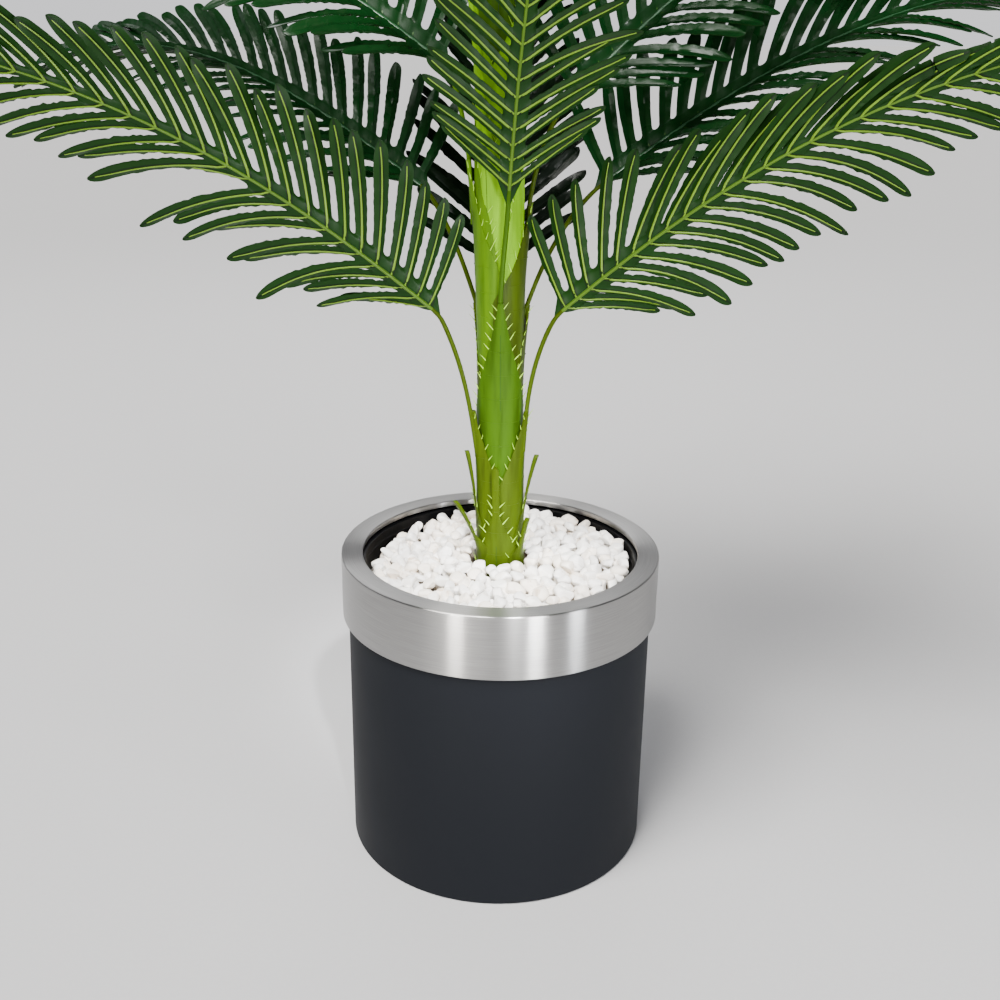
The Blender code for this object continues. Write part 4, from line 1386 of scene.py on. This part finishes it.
@dataclass
class FrondMould:
    """One moulded frond: a rib, two rows of leaflets joined by a web, and a petiole."""

    index: int
    frond: Frond
    crowding: float = 1.15
    web_rows: int = 3
    fillet: tuple = (0.12, 0.38, 0.7, 1.0)
    body_rows: int = 28
    sheet: float = 0.9 * MILLIMETRE
    leaf_half_width: float = 6.9 * MILLIMETRE
    shoulder: float = 0.76
    ear: float = 0.022
    under_ear: float = 0.007
    ear_bulge: float = 1.5 * MILLIMETRE
    first_share: float = 0.014
    groove: float = 2.3 * MILLIMETRE
    groove_share: float = 0.32
    midrib_share: float = 0.17
    crinkle: float = 0.60 * MILLIMETRE
    crinkle_pitch: float = 8.0 * MILLIMETRE
    petiole_half_width: float = 2.3 * MILLIMETRE
    rib_half_width: float = 1.8 * MILLIMETRE
    rib_tip_half_width: float = 0.7 * MILLIMETRE
    tube_sides: int = 12

    def __post_init__(self) -> None:
        """Work out the spine and the leaflets' places."""
        self.spine = Spine(self.frond)
        self.count = int(round(self.frond.blade / self.frond.pitch))
        even = ((np.arange(self.count) + 0.55) / self.count) ** self.crowding
        self.share = self.first_share + (1.0 - self.first_share) * even
        self.chance = np.random.default_rng(500 + self.index)
        self.room = (self.frond.pitch / 0.0205) ** 1.5

    def leaf_length(self, share: np.ndarray) -> np.ndarray:
        """Leaflets are shorter at the blade's foot, even to its middle and shortest at the tip."""
        rise = np.minimum(0.87, 0.70 + 1.2 * share)
        beyond = np.maximum(0.0, (share - 0.4) / 0.6)
        return self.frond.leaf * rise * (1.0 - 0.62 * beyond ** 1.5)

    def leaf_angle(self, share: np.ndarray, out: np.ndarray, comb: float) -> np.ndarray:
        """Angle between leaflet and rib: nearly square at the base, forward at the tip.

        Args:
            share: Places along the blade.
            out: Ways out from the rib; a row that points up opens wider at the base.
            comb: Degrees that the row is bent towards the tip.

        Returns:
            Angles in radians.
        """
        spread = self.frond.opening + 18.0 * np.clip(2.0 * out @ UP, -1.0, 1.0)
        opening = spread * np.maximum(0.0, 1.0 - share / 0.20) ** 1.5
        forward = comb * smooth_step(share, 0.05, 0.2)
        return np.radians(52.0 - 42.0 * np.minimum(share, 0.62) + opening - forward)

    def web_depth(self, share: np.ndarray) -> np.ndarray:
        """How far along a leaflet the web reaches."""
        rise = np.minimum(1.0, 0.75 + 3.0 * share)
        return 0.0145 * rise * (1.0 - 0.5 * share)

    def make_row(self, hand: float, share: np.ndarray) -> LeafRow:
        """Lay out the leaflets of one side.

        Args:
            hand: Which side, -1 or 1.
            share: Their places along the blade.

        Returns:
            The row of leaflets.
        """
        count = len(share)
        places = self.spine.read(self.frond.petiole + share * self.frond.blade)
        out = hand * places.side
        fold = math.radians(self.frond.fold)
        flat = math.cos(fold) * out + math.sin(fold) * places.upper
        normal = math.cos(fold) * places.upper - math.sin(fold) * out
        comb = self.frond.comb[0 if hand < 0 else 1]
        spread = self.chance.normal(0.0, 1.0, (6, count))
        return LeafRow(
            root=places.point, along=places.along, flat=flat, normal=normal,
            angle=self.leaf_angle(share, out, comb) + np.radians(2.0) * spread[0],
            length=self.leaf_length(share) * (1.0 + 0.035 * spread[1]),
            half_width=self.room * self.leaf_half_width * np.minimum(1.0, 0.80 + 1.6 * share) * (1.0 - 0.42 * share ** 2),
            droop=0.8 + 0.22 * spread[2], lift=0.05 * spread[3], twist=np.radians(9.0) * spread[4],
            limp=self.frond.limp * (1.0 + 0.15 * spread[5]), sweep=math.radians(16.0))

    def leaf_outline(self, share: np.ndarray, sign: float) -> np.ndarray:
        """Half width along the free part of a leaflet, widest beyond its middle.

        Args:
            share: Places along the free part, from 0 to 1.
            sign: -1 for the edge towards the blade's base, which runs on nearly straight to the
                blunt tip, and 1 for the edge towards its tip, which rounds off early.

        Returns:
            Shares of the full half width.
        """
        round_from = 0.86 if sign < 0 else 0.70
        tip = np.clip((share - round_from) / (1.0 - round_from), 0.0, 1.0)
        belly = self.shoulder + (1.0 - self.shoulder) * smooth_step(share, 0.0, 0.6)
        return belly * np.maximum(0.02, 1.0 - tip ** 2.2) ** 0.6

    def free_edge(self, row: LeafRow, pick: int, hand: float, sign: float, depth: float, start: float) -> tuple:
        """Web edge of the first or last leaflet, which has no neighbour.

        Args:
            row: The row of leaflets.
            pick: Number of the leaflet.
            hand: Which side of the rib.
            sign: -1 for the edge towards the base, 1 towards the tip.
            depth: Depth of the web there.
            start: Distance from the frond's foot where the edge leaves the rib.

        Returns:
            Points and normals from the rib to the leaflet's own edge.
        """
        share = np.linspace(0.0, 1.0, self.web_rows + 1)
        points, _, upper, across = row.trace(np.broadcast_to(depth * share, (len(row.length), len(share))))
        edge = points[pick] + sign * row.half_width[pick] * self.shoulder * across[pick]
        places = self.spine.read(np.full(len(share), start))
        ease = (share ** 0.8)[:, None]
        bulge = 0.0 if sign > 0 else self.ear_bulge
        lobe = bulge * np.sin(math.pi * share)[:, None] * hand * places.side
        line = places.point + (edge - places.point) * ease + lobe
        return line, unit(places.upper * (1.0 - ease) + upper[pick] * ease)

    def leaf_grid(self, row: LeafRow, hand: float, share: np.ndarray, terminal: bool) -> dict[str, np.ndarray]:
        """Points, normals and surface coordinates of every leaflet in a row.

        Args:
            row: The leaflets.
            hand: Which side of the rib.
            share: Their places along the blade.
            terminal: Whether this is the single leaflet at the blade's end.

        Returns:
            Arrays of points, normals, uvs and centre lines.
        """
        count = len(share)
        petiole, blade = self.frond.petiole, self.frond.blade
        between = np.concatenate((share[:1], 0.5 * (share[1:] + share[:-1]), share[-1:]))
        depth = self.web_depth(between)
        web = np.linspace(0.0, 1.0, self.web_rows + 1)
        edge_points = np.zeros((count + 1, self.web_rows + 1, 3))
        edge_normals = np.zeros_like(edge_points)
        if count > 1:
            reach = depth[1:-1, None] * web
            low = row.trace(np.concatenate((reach, reach[-1:])))
            high = row.trace(np.concatenate((reach[:1], reach)))
            edge_points[1:-1] = 0.5 * (low[0][:-1] + high[0][1:])
            edge_normals[1:-1] = unit(low[2][:-1] + high[2][1:])
        rib_line = self.spine.read(petiole + share * blade)
        hangs = float(hand * rib_line.side[0] @ UP) < -0.3
        ear = self.under_ear if hangs else self.ear
        first = petiole + share[0] * blade - (0.0 if terminal else ear)
        last = petiole + blade
        edge_points[0], edge_normals[0] = self.free_edge(row, 0, hand, -1.0, depth[0], first)
        edge_points[-1], edge_normals[-1] = self.free_edge(row, count - 1, hand, 1.0, depth[-1], last)
        edge_normals[:, 0] = self.spine.read(petiole + between * blade).upper

        tracks = []
        body = 1.0 - (1.0 - np.linspace(0.0, 1.0, self.body_rows + 1)[1:]) ** 1.25
        centre_depth = 0.5 * (depth[:-1] + depth[1:])
        radii = []
        for sign, slot_depth, edges in ((-1.0, depth[:-1], edge_points[:-1]), (1.0, depth[1:], edge_points[1:])):
            at_slot = row.trace(slot_depth[:, None])
            gap = edges[:, -1] - at_slot[0][:, 0]
            half = sign * np.sum(gap * at_slot[3][:, 0], axis=-1)
            radius = np.maximum(0.5 * MILLIMETRE, half - self.shoulder * row.half_width)
            radii.append((slot_depth, gap, half, radius, at_slot))
        mean_radius = 0.5 * (radii[0][3] + radii[1][3])
        fillet = np.array(self.fillet)

        def rows_of(slot_depth: np.ndarray, radius: np.ndarray) -> np.ndarray:
            inner = slot_depth[:, None] * web
            round_end = slot_depth[:, None] + radius[:, None] * fillet
            rest = (row.length - slot_depth - radius)[:, None] * body
            return np.concatenate((inner, round_end, (slot_depth + radius)[:, None] + rest), axis=1)

        centre_reach = rows_of(centre_depth, mean_radius)
        centre, run, upper, across = row.trace(centre_reach)
        upper[:, 0] = rib_line.upper
        free = smooth_step(centre_reach, centre_depth[:, None], (centre_depth + 0.012)[:, None])
        turn = row.twist[:, None] * np.clip(
            (centre_reach - centre_depth[:, None]) / (row.length - centre_depth)[:, None], 0.0, 1.0)
        centre_groove = self.groove * smooth_step(centre_reach, 0.0, 0.006) * (
            1.0 - smooth_step(centre_reach, 0.8 * row.length[:, None], row.length[:, None]))
        for sign, (slot_depth, gap, half, radius, at_slot), edges, normals in (
                (-1.0, radii[0], edge_points[:-1], edge_normals[:-1]),
                (1.0, radii[1], edge_points[1:], edge_normals[1:])):
            reach = rows_of(slot_depth, radius)
            points, way, up, cross = row.trace(reach)
            past = np.clip((reach - slot_depth[:, None]) / radius[:, None], 0.0, 1.0)
            round_part = 1.0 - np.sqrt(np.maximum(0.0, 1.0 - (1.0 - past) ** 2))
            span = (reach - slot_depth[:, None]) / (row.length - slot_depth)[:, None]
            own = row.half_width[:, None] * self.leaf_outline(np.clip(span, 0.0, 1.0), sign)
            width = own + (half[:, None] - own) * round_part
            slant = sign * np.sum(gap * at_slot[1][:, 0], axis=-1) / np.maximum(half, 1e-4)
            slant = slant[:, None] * (1.0 - smooth_step(span, 0.0, 0.45))
            tilt = turn[..., None]
            arm = np.cos(tilt) * (cross + slant[..., None] * way) + np.sin(tilt) * up
            edge = points + sign * width[..., None] * arm
            fixed = gap - sign * half[:, None] * (at_slot[3][:, 0] + (sign * np.sum(
                gap * at_slot[1][:, 0], axis=-1) / np.maximum(half, 1e-4))[:, None] * at_slot[1][:, 0])
            edge = edge + fixed[:, None, :] * round_part[..., None]
            phase = self.chance.uniform(0.0, 2.0 * math.pi, (count, 1))
            wave = np.sin(2.0 * math.pi * reach / self.crinkle_pitch + phase)
            wave = wave + 0.6 * np.sin(2.0 * math.pi * reach / (0.57 * self.crinkle_pitch) + 2.0 * phase)
            wave = wave + 0.8 * np.sin(2.0 * math.pi * reach / (2.3 * self.crinkle_pitch) + 3.0 * phase)
            window = smooth_step(span, 0.02, 0.12) * (1.0 - smooth_step(span, 0.50, 0.82))
            edge = edge + (self.crinkle * wave * window)[..., None] * up
            edge[:, :self.web_rows + 1] = edges
            up = up.copy()
            up[:, :self.web_rows + 1] = normals
            tracks.append((edge, up))
        low_edge, high_edge = tracks
        dome = 0.3 * MILLIMETRE * free
        groove_points = centre - centre_groove[..., None] * upper
        near = self.groove_share
        middle = [near * edge + (1.0 - near) * centre + (dome - (1.0 - near) * centre_groove)[..., None] * upper
                  for edge, _ in (low_edge, high_edge)]
        points = np.stack((low_edge[0], middle[0], groove_points, middle[1], high_edge[0]), axis=2)
        normals = np.stack((low_edge[1], unit(low_edge[1] + upper), upper, unit(high_edge[1] + upper),
                            high_edge[1]), axis=2)
        across_uv = np.array((0.0, 0.5 - 0.5 * near, 0.5, 0.5 + 0.5 * near, 1.0))
        uv_u = np.broadcast_to(across_uv + 1.7 * np.arange(count)[:, None, None], points.shape[:3])
        uv_v = np.broadcast_to((centre_reach / 0.1)[..., None], points.shape[:3])
        return {"points": STEM.push_clear(points, 6.5 * MILLIMETRE), "normals": normals,
                "uvs": np.stack((uv_u, uv_v), axis=-1), "reach": centre_reach,
                "centre": STEM.push_clear(groove_points, 6.5 * MILLIMETRE), "upper": upper, "across": across}

    def add_sheet(self, batch: MeshBatch, grid: dict[str, np.ndarray], hand: float) -> None:
        """Add the leaflets' two skins and the rim between them.

        Args:
            batch: Piece that takes them.
            grid: Arrays from leaf_grid.
            hand: Which side of the rib.
        """
        points, normals, uvs = grid["points"], grid["normals"], grid["uvs"]
        count, rows, columns = points.shape[:3]
        faces = grid_faces(rows, columns)
        if hand > 0:
            faces = faces[:, ::-1]
        size = rows * columns
        all_faces = (faces[None] + size * np.arange(count)[:, None, None]).reshape(-1, 4)
        half = 0.5 * self.sheet
        start = batch.count
        in_web = all_faces.min(axis=1) % size < self.web_rows * columns
        batch.add(points + half * normals, all_faces[~in_web], 0, uvs)
        batch.add_faces(all_faces[in_web], start, 4)
        # Faces beside the midrib take the darker strip: painted shade cast by the raised midrib.
        beside_midrib = np.isin(all_faces.min(axis=1) % columns, (1, 2))
        batch.add(points - half * normals, all_faces[~beside_midrib][:, ::-1], 1, uvs)
        batch.add_faces(all_faces[beside_midrib][:, ::-1], start + count * size, 3)
        number = np.arange(size).reshape(rows, columns)
        web = self.web_rows
        for leaf in range(count):
            low_from = 0 if leaf == 0 else web
            high_from = 0 if leaf == count - 1 else web
            path = np.concatenate((number[low_from:, 0], number[-1, 1:-1], number[high_from:, -1][::-1]))
            path = path + leaf * size
            rim = np.stack((path[:-1], path[1:], path[1:] + count * size, path[:-1] + count * size), axis=-1)
            batch.add_faces(rim if hand < 0 else rim[:, ::-1], start, 2)

    def add_midribs(self, batch: MeshBatch, grid: dict[str, np.ndarray], half_width: np.ndarray) -> None:
        """Add the raised line on each leaflet's underside.

        Args:
            batch: Piece that takes them.
            grid: Arrays from leaf_grid.
            half_width: Half widths of the leaflets.
        """
        rows = np.arange(0, grid["reach"].shape[1] - 3, 2)
        centre = grid["centre"][:, rows]
        upper = grid["upper"][:, rows]
        across = grid["across"][:, rows]
        share = grid["reach"][:, rows] / grid["reach"][:, -1:]
        width = self.midrib_share / self.room * half_width[:, None] * (1.0 - 0.58 * share)
        height = 0.75 * MILLIMETRE * (1.0 - 0.6 * share)
        base = centre - (0.5 * self.sheet - 0.2 * MILLIMETRE) * upper
        corners = ((-1.0, 0.0), (-0.6, -1.0), (0.6, -1.0), (1.0, 0.0), (0.0, 0.3))
        ring = [base + (x * width)[..., None] * across + (y * height)[..., None] * upper for x, y in corners]
        points = np.stack(ring, axis=2)
        count, length, sides = points.shape[:3]
        faces = grid_faces(length, sides, wrap=True)
        size = length * sides
        start = batch.count
        all_faces = (faces[None] + size * np.arange(count)[:, None, None]).reshape(-1, 4)
        batch.add(points, all_faces, 1)
        caps = np.arange(sides)[None, :] + size * np.arange(count)[:, None]
        batch.add_faces(caps[:, ::-1], start, 1)
        batch.add_faces(caps + size - sides, start, 1)

    def add_rib(self, batch: MeshBatch) -> None:
        """Add the petiole and the rib as one tapering tube.

        Args:
            batch: Piece that takes them.
        """
        petiole, total = self.frond.petiole, self.spine.total
        below = 14.0 * MILLIMETRE
        distance = np.concatenate((np.linspace(-below, petiole, 30)[:-1], np.linspace(petiole, total, 60)))
        places = self.spine.read(distance)
        blade = np.clip((distance - petiole) / self.frond.blade, 0.0, 1.0)
        join = smooth_step(distance, petiole - 0.02, petiole + 0.02)
        width = self.petiole_half_width + (self.rib_half_width - self.petiole_half_width) * join
        width = width + (self.rib_tip_half_width - self.rib_half_width) * blade
        under = 2.3 * MILLIMETRE - 1.6 * MILLIMETRE * blade
        over = 2.0 * MILLIMETRE + (0.9 - 2.0) * MILLIMETRE * join - 0.4 * MILLIMETRE * blade
        turn = 2.0 * math.pi * (np.arange(self.tube_sides) + 0.5) / self.tube_sides
        lift = np.where(np.sin(turn)[None, :] > 0.0, over[:, None], under[:, None]) * np.sin(turn)[None, :]
        points = (places.point[:, None, :] + (width[:, None] * np.cos(turn))[..., None] * places.side[:, None, :]
                  + lift[..., None] * places.upper[:, None, :])
        uv = np.stack(np.broadcast_arrays(turn[None, :] / math.pi, distance[:, None] / 0.1), axis=-1)
        start = batch.count
        faces = grid_faces(len(distance), self.tube_sides, wrap=True)[:, ::-1]
        row = faces.min(axis=1) // self.tube_sides
        column = faces.min(axis=1) % self.tube_sides
        on_top = (np.sin(turn[column]) > 0.0) & (distance[row] > petiole)
        in_petiole = distance[row] <= petiole
        batch.add(points, faces[~on_top & ~in_petiole], 0, uv)
        batch.add_faces(faces[on_top], start, 2)
        batch.add_faces(faces[in_petiole], start, 3)
        ring = np.arange(self.tube_sides)[None, :]
        batch.add_faces(ring, start, 3)
        batch.add_faces(ring[:, ::-1] + (len(distance) - 1) * self.tube_sides, start, 0)

    def build(self, leaf_skins: list[bpy.types.Material], rib_skins: list[bpy.types.Material]) -> None:
        """Build the frond's leaflets and ribs.

        Args:
            leaf_skins: Materials of upper side, underside, rim, painted shade beside the midrib, and web.
            rib_skins: Materials of rib, midrib, the rib's upper side with its partly painted highlight, and the
                petiole.
        """
        leaves = MeshBatch()
        ribs = MeshBatch()
        self.add_rib(ribs)
        end = np.array((1.0,))
        for hand, share, terminal in ((-1.0, self.share, False), (1.0, self.share, False), (1.0, end, True)):
            row = self.make_row(hand, share)
            if terminal:
                row.angle = np.full(1, 0.5 * row.sweep * 0.01)
                row.sweep = math.radians(0.5)
                row.length = 0.85 * self.leaf_length(end)
                row.half_width = np.full(1, 4.2 * MILLIMETRE)
            grid = self.leaf_grid(row, hand, share, terminal)
            self.add_sheet(leaves, grid, hand)
            self.add_midribs(ribs, grid, row.half_width)
        node = f"frond_{self.index:02d}"
        leaves.build(f"{node}_leaflets", leaf_skins, Slot.LEAVES, [node], 50.0)
        ribs.build(f"{node}_ribs", rib_skins, Slot.LEAVES, [node], 60.0)


class Crown:
    """All fronds, each with the lit or shaded copy of the materials that its tone gives, as painted light and shade.
    """

    # The three tones are one plastic painted lighter or darker: painted light for the fronds at the front, painted
    # shade for those behind the trunk.
    faces = {
        LeafTone.LIT_GREEN: ("#0f3a14", "#0a2b0d"),
        LeafTone.SHADED_GREEN: ("#08300f", "#06240a"),
        LeafTone.SHADE: ("#041505", "#030f04"),
    }
    undersides = {
        LeafTone.LIT_GREEN: ("#112e0a", "#0c2308"),
        LeafTone.SHADED_GREEN: ("#0d270a", "#091d07"),
        LeafTone.SHADE: ("#061807", "#051105"),
    }
    # Darker strips beside each midrib on the underside: painted shade of the raised midrib.
    midrib_shades = {
        LeafTone.LIT_GREEN: ("#081d05", "#061704"),
        LeafTone.SHADED_GREEN: ("#081d06", "#061505"),
        LeafTone.SHADE: ("#041205", "#030d04"),
    }
    ribs = {
        LeafTone.LIT_GREEN: ("#42600f", "#38530b"),
        LeafTone.SHADED_GREEN: ("#264a14", "#203f10"),
        LeafTone.SHADE: ("#183210", "#13280c"),
    }
    # The rib's upper side: partly its own paler green, partly a painted highlight along the rounded rib, brightest in
    # the shaded-green tone.
    rib_tops_and_sheen = {
        LeafTone.LIT_GREEN: ("#1c4a1a", "#153c14"),
        LeafTone.SHADED_GREEN: ("#31593a", "#274a2f"),
        LeafTone.SHADE: ("#0a1c0a", "#071507"),
    }
    midribs = {
        LeafTone.LIT_GREEN: ("#5c7c19", "#4f6d13"),
        LeafTone.SHADED_GREEN: ("#2c5216", "#254712"),
        LeafTone.SHADE: ("#183210", "#13280c"),
    }

    def __init__(self) -> None:
        """Build the materials of every tone."""
        self.leaf_skins = {}
        self.rib_skins = {}
        for tone in LeafTone:
            face = MouldedPolyethylene(f"leaf_face_{tone.value}", *self.faces[tone], 0.29, 0.22,
                                       pucker=0.35 * MILLIMETRE).build()
            under = MouldedPolyethylene(f"leaf_underside_{tone.value}", *self.undersides[tone], 0.42, 0.08).build()
            web = MouldedPolyethylene(f"leaf_web_{tone.value}", *self.faces[tone], 0.42, 0.10).build()
            midrib_shade = MouldedPolyethylene(f"leaf_midrib_shade_{tone.value}", *self.midrib_shades[tone], 0.42, 0.10).build()
            rib = MouldedPolyethylene(f"rib_{tone.value}", *self.ribs[tone], 0.40, 0.2, 6.0, 0.8).build()
            rib_top = MouldedPolyethylene(f"rib_top_{tone.value}", *self.rib_tops_and_sheen[tone], 0.30, 0.5, 6.0, 0.8).build()
            midrib = MouldedPolyethylene(f"midrib_{tone.value}", *self.midribs[tone], 0.42, 0.2, 6.0, 0.8).build()
            self.leaf_skins[tone] = [face, under, under, midrib_shade, web]
            self.rib_skins[tone] = [rib, midrib, rib_top]

    def build(self, skins: dict[SheathTone, bpy.types.Material]) -> None:
        """Build the fronds, lowest first.

        Args:
            skins: Materials of the sheath tones, which the petioles share.
        """
        for index, frond in enumerate(FRONDS, start=1):
            rib_skins = [*self.rib_skins[frond.tone], skins[frond.sheath.tone]]
            FrondMould(index, frond).build(self.leaf_skins[frond.tone], rib_skins)


# Studio


@dataclass
class Studio:
    """Camera, pale floor and soft lights."""

    focal_pixels: float = 1292.3
    image_pixels: float = 1000.0
    sensor: float = 36.0
    place: tuple = (0.0, -1.2032, 0.835)
    pitch: float = math.radians(-21.125)
    yaw: float = math.radians(-0.0529)
    roll: float = math.radians(0.8837)
    floor_half_size: float = 30.0
    snoot_power: float = 1150.0
    snoot_cone: float = math.radians(7.4)

    def build_camera(self) -> bpy.types.Object:
        """Build the camera at the photograph's place."""
        data = bpy.data.cameras.new("photo_camera")
        data.sensor_width = self.sensor
        data.lens = self.sensor * self.focal_pixels / self.image_pixels
        camera = bpy.data.objects.new("photo_camera", data)
        bpy.context.scene.collection.objects.link(camera)
        flat = math.cos(self.pitch)
        forward = Vector((math.sin(self.yaw) * flat, math.cos(self.yaw) * flat, math.sin(self.pitch)))
        right = forward.cross(Vector((0.0, 0.0, 1.0))).normalized()
        up = right.cross(forward)
        turned_right = math.cos(self.roll) * right + math.sin(self.roll) * up
        turned_up = -math.sin(self.roll) * right + math.cos(self.roll) * up
        pose = Matrix((turned_right, turned_up, -forward)).transposed().to_4x4()
        pose.translation = Vector(self.place)
        camera.matrix_world = pose
        bpy.context.scene.camera = camera
        return camera

    def build_floor(self) -> bpy.types.Object:
        """Build the pale floor."""
        half = self.floor_half_size
        mesh = bpy.data.meshes.new("studio_floor")
        corners = [(-half, -half, 0.0), (half, -half, 0.0), (half, half, 0.0), (-half, half, 0.0)]
        mesh.from_pydata(corners, [], [(0, 1, 2, 3)])
        floor = bpy.data.objects.new("studio_floor", mesh)
        floor.location.z = -0.2 * MILLIMETRE
        bpy.context.scene.collection.objects.link(floor)
        mesh.materials.append(PaperBackdrop().build())
        return floor

    def add_light(self, name: str, place: tuple, target: tuple, size: tuple, power: float, tint: str,
                  spread: float = 180.0) -> None:
        """Add one soft box.

        Args:
            name: Its name.
            place: Where it hangs.
            target: What it faces.
            size: Its width and height.
            power: Watts.
            tint: Its colour.
            spread: Angle in degrees that the grid before it lets through.
        """
        data = bpy.data.lights.new(name, "AREA")
        data.spread = math.radians(spread)
        data.shape = "RECTANGLE"
        data.size, data.size_y = size
        data.energy = power
        data.color = srgb(tint)[:3]
        light = bpy.data.objects.new(name, data)
        light.location = place
        aim = Vector(target) - Vector(place)
        light.rotation_euler = aim.to_track_quat("-Z", "Y").to_euler()
        bpy.context.scene.collection.objects.link(light)

    def build_lights(self) -> None:
        """Hang the soft boxes, and set the even daylight and the grey of the room."""
        middle = (0.0, 0.0, 0.45)
        self.add_light("left_soft_box", (-1.38, -2.60, 0.34), middle, (0.46, 0.52), 6.8, "#fffaf4", 60.0)
        self.add_light("front_soft_box", (1.15, -2.60, 0.34), middle, (0.42, 0.52), 10.6, "#ffffff", 60.0)
        self.add_light("right_soft_box", (2.15, -1.70, 0.34), middle, (0.40, 0.52), 4.2, "#f7faff", 60.0)
        self.add_light("back_soft_box", (-0.4, 2.5, 2.3), (0.0, 0.0, 0.8), (2.6, 1.4), 32.0, "#ffffff")
        self.add_light("top_soft_box", (-0.35, -1.25, 2.5), middle, (0.35, 0.35), 14.0, "#ffffff")
        snoot = bpy.data.lights.new("planter_snoot", "SPOT")
        snoot.energy = self.snoot_power
        snoot.spot_size = self.snoot_cone
        snoot.spot_blend = 0.9
        snoot.shadow_soft_size = 0.12
        lamp = bpy.data.objects.new("planter_snoot", snoot)
        lamp.location = (0.42, -1.95, 2.2)
        aim = Vector((0.0, 0.0, 0.305)) - lamp.location
        lamp.rotation_euler = aim.to_track_quat("-Z", "Y").to_euler()
        bpy.context.scene.collection.objects.link(lamp)
        data = bpy.data.lights.new("ceiling_daylight", "SUN")
        data.energy = 6.8
        data.angle = math.radians(34.0)
        data.color = srgb("#fffdf8")[:3]
        daylight = bpy.data.objects.new("ceiling_daylight", data)
        daylight.rotation_euler = Vector((0.42, 0.52, -1.0)).to_track_quat("-Z", "Y").to_euler()
        bpy.context.scene.collection.objects.link(daylight)
        self.build_room()

    def build_room(self) -> None:
        """Surround the floor with a pale grey room under a darker ceiling."""
        world = bpy.data.worlds.new("grey_room")
        world.use_nodes = True
        tree = world.node_tree
        place = add_node(tree, "ShaderNodeTexCoord")
        split = add_node(tree, "ShaderNodeSeparateXYZ", {}, {"Vector": place.outputs["Generated"]})
        height = add_node(tree, "ShaderNodeMapRange", {"interpolation_type": "SMOOTHSTEP"}, {
            "Value": split.outputs["Z"], "From Min": 0.02, "From Max": 0.55})
        ceiling = add_node(tree, "ShaderNodeMix", {"data_type": "RGBA"}, {
            "Factor": height.outputs["Result"], "A": srgb("#cbcbd0"), "B": srgb("#3e3e40")})
        horizon = add_node(tree, "ShaderNodeMapRange", {"interpolation_type": "SMOOTHSTEP"}, {
            "Value": split.outputs["Z"], "From Min": 0.0, "From Max": 0.16})
        tone = add_node(tree, "ShaderNodeMix", {"data_type": "RGBA"}, {
            "Factor": horizon.outputs["Result"], "A": srgb("#fcfcff"), "B": ceiling.outputs["Result"]})
        background = tree.nodes["Background"]
        tree.links.new(tone.outputs["Result"], background.inputs["Color"])
        background.inputs["Strength"].default_value = 1.0
        bpy.context.scene.world = world

    def build(self) -> None:
        """Build camera, floor and lights."""
        self.build_camera()
        self.build_floor()
        self.build_lights()


def main() -> None:
    """Build every piece in order."""
    logging.basicConfig(level=logging.INFO, format="%(message)s")
    Studio().build()
    Planter().build()
    PebbleBed().build()
    skins = {
        SheathTone.LIME: SheathPlastic("lime", "#6c9e00", "#5d8b00", 0.04).build(),
        SheathTone.MOSS: SheathPlastic("moss", "#466902", "#395902", 0.06).build(),
        SheathTone.LEAF: SheathPlastic("leaf", "#304e02", "#263e02", 0.06).build(),
        SheathTone.OLIVE: SheathPlastic("olive", "#354602", "#2b3803", 0.06).build(),
        SheathTone.SPIKE: SheathPlastic("spike", "#9cc840", "#8cba34").build(),
        SheathTone.GROOVE_SHADE: SheathPlastic("groove", "#1d3a10", "#18320e").build(),
    }
    Trunk().build(skins)
    Crown().build(skins)


if __name__ == "__main__":
    main()
